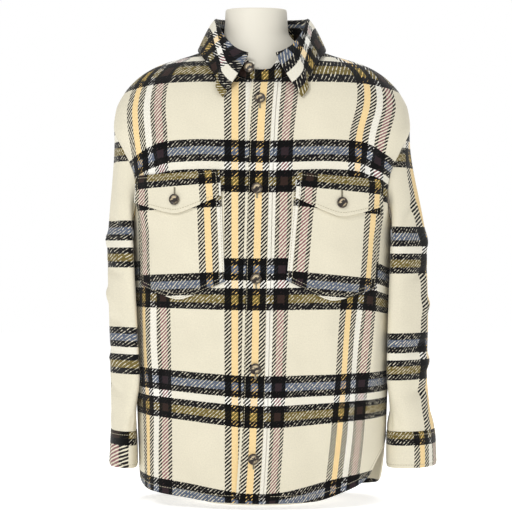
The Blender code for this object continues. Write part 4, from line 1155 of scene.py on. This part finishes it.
# Buttons: turned discs with a raised rim, four holes and thread
buttons = {
    "radius": 0.0088, "thick": 0.0032, "seat": 0.0008, "sides": 48, "dish": 0.66,
    "holeRadius": 0.00085, "holeOut": 0.0021, "holeSides": 12, "holeLift": 0.00012,
    "threadHalf": 0.0003, "threadHeight": 0.0006, "standSteps": 60,
    "top": 0.650, "pitch": 0.1422, "count": 5, "inset": (0.0165, 0.0235), "stand": (-0.0212, 0.7030),
    # the third colour is painted shade in the holes, also laid on the thread across them
    "dark": (34, 21, 11), "pale": (198, 180, 146), "hole": (14, 9, 6), "roughness": 0.48, "coat": 0.12,
    # streaks of the horn, then its rim as shares of the radius; holes and thread lie far out in the cut
    "streaks": 520, "streakSlant": 0.7, "streakEdges": (-0.15, 0.85), "bend": 7.5, "bendScale": 170.0,
    "rimEdges": (0.45, 0.78), "rimDark": 0.86, "holePlace": 0.4, "holeEdges": (0.09, 0.10),
    # radius and height, as shares of the button's own
    "profile": [(0.0, 0.0), (0.78, 0.0), (0.93, 0.18), (1.0, 0.45), (0.985, 0.72), (0.93, 0.93), (0.86, 1.0),
                (0.78, 0.97), (0.71, 0.86), (0.62, 0.74), (0.48, 0.67), (0.0, 0.66)]}


# horn: dark and pale by a slanting sine of the place on the button, bent by noise; dark round the rim.
# The holes get near-black painted shade, and the thread across them the same colour. The whole part of
# the place along is the button's number.
def horn():
    shade = Shade("horn_button")
    place, u, v = shade.cutPlace()
    x = (u + 0.5).fract() - 0.5
    radius = (x * x + v * v).power(0.5)
    bend = shade.noise(place, buttons["bendScale"], 2.0) * buttons["bend"]
    slant = (x * buttons["streakSlant"] - v) * buttons["streaks"]
    streak = (slant + bend).sine().step(*buttons["streakEdges"])
    rim = radius.step(*(buttons["radius"] * edge for edge in buttons["rimEdges"]))
    paleness = streak * (1 - rim * buttons["rimDark"])
    dark, pale, hole = (shade.flat(buttons[name]) for name in ("dark", "pale", "hole"))
    # near-black painted shade in the holes and on the thread across them
    colour = shade.mix(radius.step(*buttons["holeEdges"]), shade.mix(paleness, dark, pale), hole)
    shade.set(Base_Color=colour, Roughness=buttons["roughness"], Coat_Weight=buttons["coat"])
    return shade.material


# shares of a bar's half width
barShape = {"endInset": 0.8, "top": 0.7}


# bars along given lines: a flat top narrower than the foot, sides and ends
def bars(start, end, normal, half, low, high):
    along = unit(end - start)
    beside = np.cross(normal, along) * half
    inset, narrow = along * half * barShape["endInset"], beside * barShape["top"]
    foot, top = normal * low, normal * high
    points = np.stack([start - beside + foot, start + beside + foot, end + beside + foot, end - beside + foot,
                       start + inset - narrow + top, start + inset + narrow + top,
                       end - inset + narrow + top, end - inset - narrow + top], axis=1)
    faces = np.array([(4, 7, 6, 5), (0, 4, 5, 1), (1, 5, 6, 2), (2, 6, 7, 3), (3, 7, 4, 0)])
    quads = (np.arange(len(start))[:, None, None] * 8 + faces[None]).reshape(-1, 4)
    return points.reshape(-1, 3), quads


def makeButton(name, number, seat, normal, material):
    turns = np.linspace(0, 2 * math.pi, buttons["sides"], endpoint=False)
    radius, height = np.array(buttons["profile"]).T
    radius, height = radius * buttons["radius"], height * buttons["thick"]
    wide = radius[:, None]
    disc = np.stack(np.broadcast_arrays(wide * np.cos(turns), wide * np.sin(turns), height[:, None]), axis=-1)
    points = [disc.reshape(-1, 3)]
    quads = [gridQuads(len(radius), len(turns), True)]
    places = [points[0][:, :2] + np.array([number, 0.0])]
    dish = buttons["thick"] * buttons["dish"]
    out = buttons["holeOut"] * math.sqrt(0.5)
    around = np.linspace(0, 2 * math.pi, buttons["holeSides"], endpoint=False)
    ring = buttons["holeRadius"] * np.stack([np.cos(around), np.sin(around), 0 * around], axis=-1)
    count = len(points[0])
    for across, up in ((out, out), (-out, out), (-out, -out), (out, -out)):
        middle = np.array([across, up, dish + buttons["holeLift"]])
        points += [middle + ring, middle + 0 * ring]
        quads.append(gridQuads(2, len(ring), True) + count)
        count += 2 * len(ring)
    starts = np.array([(-out, out, dish), (-out, -out, dish)])
    threads, threadQuads = bars(starts, starts * np.array([-1, 1, 1]), straightUp, buttons["threadHalf"], 0.0,
                                buttons["threadHeight"])
    points.append(threads)
    quads.append(threadQuads + count)
    local = np.concatenate(points)
    quads = np.concatenate(quads)
    places.append(np.tile([number + buttons["holePlace"], 0.0], (len(local) - len(points[0]), 1)))
    sideways = unit(np.cross(straightUp, normal))
    axes = np.stack([sideways, np.cross(normal, sideways), normal])
    world = seat + normal * buttons["seat"] + local @ axes
    thing = meshObject(name + "_horn", world, quads, material, np.concatenate(places)[quads.ravel()])
    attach(thing, "root")
    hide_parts(name)


# seats of all buttons: on the placket, on the collar stand's end and on the flaps
def buttonSeats():
    rings = body["rings"]
    share = np.linspace(0, 1, buttons["count"])
    heights = buttons["top"] - buttons["pitch"] * np.arange(buttons["count"])
    level = np.interp(heights, rings.place - rings.values["frontDrop"], rings.place)
    inset = buttons["inset"][0] + (buttons["inset"][1] - buttons["inset"][0]) * share
    turn = turnAt(level, placketLeft(level) + inset)
    normal = bodyNormal(turn, level)
    point = bodyPoint(turn, level) + normal * (fronts["lapGap"] + fronts["placketWall"])
    seats = {"button_front_%d" % (n + 1): (point[n], normal[n]) for n in range(buttons["count"])}
    degrees = np.linspace(collar["ends"][1], collar["stand"].place[-1], buttons["standSteps"])
    foot, top, outward = standLines(degrees)
    nearest = int(np.argmin(np.abs(foot[:, 0] - buttons["stand"][0])))
    low, high = foot[nearest], top[nearest]
    share = (buttons["stand"][1] - low[2]) / (high[2] - low[2])
    rising = unit(high - low)
    sideways = unit(np.cross(rising, outward[nearest]))
    seats["button_stand"] = (low * (1 - share) + high * share, np.cross(sideways, rising))
    down = np.array([pockets["buttonDown"]])
    for name in ("left", "right"):
        point, normal = onFront(pockets[name], "flap", np.array([pockets["width"] / 2]), down,
                                flapLift(down, np.array([pockets["flapPoint"]])))
        seats["button_flap_" + name] = (point[0], normal[0])
    return seats


hornMaterial = horn()
seats = buttonSeats()
for number, (name, (seat, normal)) in enumerate(seats.items()):
    makeButton(name, number, seat, normal, hornMaterial)
print("buttons made:", len(seats))

# Sewing: rows of stitches beside the edges, and worked buttonholes
sewing = {
    "stitch": 0.0032, "gap": 0.0012, "half": 0.00045, "low": -0.0003, "high": 0.00042, "pathPoints": 700,
    # a buttonhole's bar and slit, and its two ends above a button's middle
    "holeHalf": 0.0017, "slitHalf": 0.00035, "holeLow": -0.0004, "holeHigh": 0.0006, "slitLift": 0.00015,
    "frontHole": (-0.0165, 0.002), "flapHole": (0.003, 0.0190),
    # colour and roughness
    "looks": {"thread": ((176, 168, 144), 0.8), "hole_thread": ((146, 140, 120), 0.85),
              # the slit's dark colour is painted shade in the opening
              "hole_slit": ((40, 36, 30), 0.9)},
    # paths of the stitches through shares of a piece's rows and columns
    "paths": {
        "sides": [(0.0, 0.0), (1.0, 0.0), (1.0, 0.5), (1.0, 1.0), (0.0, 1.0)],
        "firstRow": [(0.0, 0.0), (0.0, 0.5), (0.0, 1.0)], "lastRow": [(1.0, 0.0), (1.0, 0.5), (1.0, 1.0)],
        "mouth": [(0.0, 0.0), (0.0, 1.0)],
        "firstColumn": [(0.0, 0.0), (1.0, 0.0)], "lastColumn": [(0.0, 1.0), (1.0, 1.0)]},
    # pieces, then each path with its inset from the edge
    "rows": [
        (("pocket_left", "pocket_right"), [("sides", 0.0025), ("sides", 0.0085)]),
        (("flap_left", "flap_right"), [("sides", 0.0060), ("mouth", 0.0055)]),
        (("front_placket",), [("firstColumn", 0.0060), ("lastColumn", 0.0060)]),
        (("cuff_left", "cuff_right"), [("firstRow", 0.0050), ("lastRow", 0.0055)]),
        (("front_left", "front_right", "back"), [("firstRow", 0.0110)])]}


# points and outward directions on a piece's outer face at row and column numbers that need not be whole
def onPiece(name, row, column):
    outer, inner = pieceFaces[name]
    points = between(outer, row, column)
    return points, unit(points - between(inner, row, column))


# row and column numbers a given inset from the edges: knots are shares, the inset is in metres
def insetPath(name, knots, inset):
    outer = pieceFaces[name][0]
    rows, columns = outer.shape[0] - 1, outer.shape[1] - 1
    tall = np.linalg.norm(np.diff(outer[:, columns // 2], axis=0), axis=1).sum()
    wide = np.linalg.norm(np.diff(outer[rows // 2], axis=0), axis=1).sum()
    row, column = np.array(knots, float).T
    row = (np.clip(row, 0, 1) * (1 - 2 * inset / tall) + inset / tall) * rows
    column = (np.clip(column, 0, 1) * (1 - 2 * inset / wide) + inset / wide) * columns
    along = np.linspace(0, len(knots) - 1, sewing["pathPoints"])
    return [np.interp(along, np.arange(len(knots)), place) for place in (row, column)]


def stitchRows(name, rows):
    points, quads, count = [], [], 0
    for path, inset in rows:
        line, normal = onPiece(name, *insetPath(name, sewing["paths"][path], inset))
        length = lengthAlong(line, 0)
        pitch = sewing["stitch"] + sewing["gap"]
        first = np.arange(int(length[-1] / pitch)) * pitch

        def at(place, values):
            return np.stack([np.interp(place, length, values[:, axis]) for axis in range(3)], axis=-1)

        made, faces = bars(at(first, line), at(first + sewing["stitch"], line), unit(at(first, normal)),
                           sewing["half"], sewing["low"], sewing["high"])
        points.append(made)
        quads.append(faces + count)
        count += len(made)
    thing = meshObject(name + "_stitches", np.concatenate(points), np.concatenate(quads), threadMaterial)
    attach(thing, "root")


# a buttonhole: a flat worked bar with a slit painted dark as shade, from one height to another beside a
# button's seat
def makeButtonhole(name, seat, normal, low, high):
    sideways = unit(np.cross(straightUp, normal))
    upward = np.cross(normal, sideways)
    start, end = (seat + upward * low)[None], (seat + upward * high)[None]
    top = sewing["holeHigh"]
    for part, half, rise, material in (("worked", sewing["holeHalf"], top, holeMaterial),
                                       ("slit", sewing["slitHalf"], top + sewing["slitLift"], slitShadeMaterial)):
        points, quads = bars(start, end, normal[None], half, sewing["holeLow"], rise)
        thing = meshObject("%s_%s" % (name, part), points, quads, material)
        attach(thing, "root")


threadMaterial, holeMaterial, slitShadeMaterial = (plainMaterial(name, *look)
                                              for name, look in sewing["looks"].items())
for names, rows in sewing["rows"]:
    for name in names:
        stitchRows(name, rows)
# no buttonhole is made for the stand's button
for name, (seat, normal) in seats.items():
    if name == "button_stand":
        continue
    ends = sewing["flapHole" if "flap" in name else "frontHole"]
    makeButtonhole(name.replace("button", "buttonhole"), seat, normal, *ends)
print("sewing made")
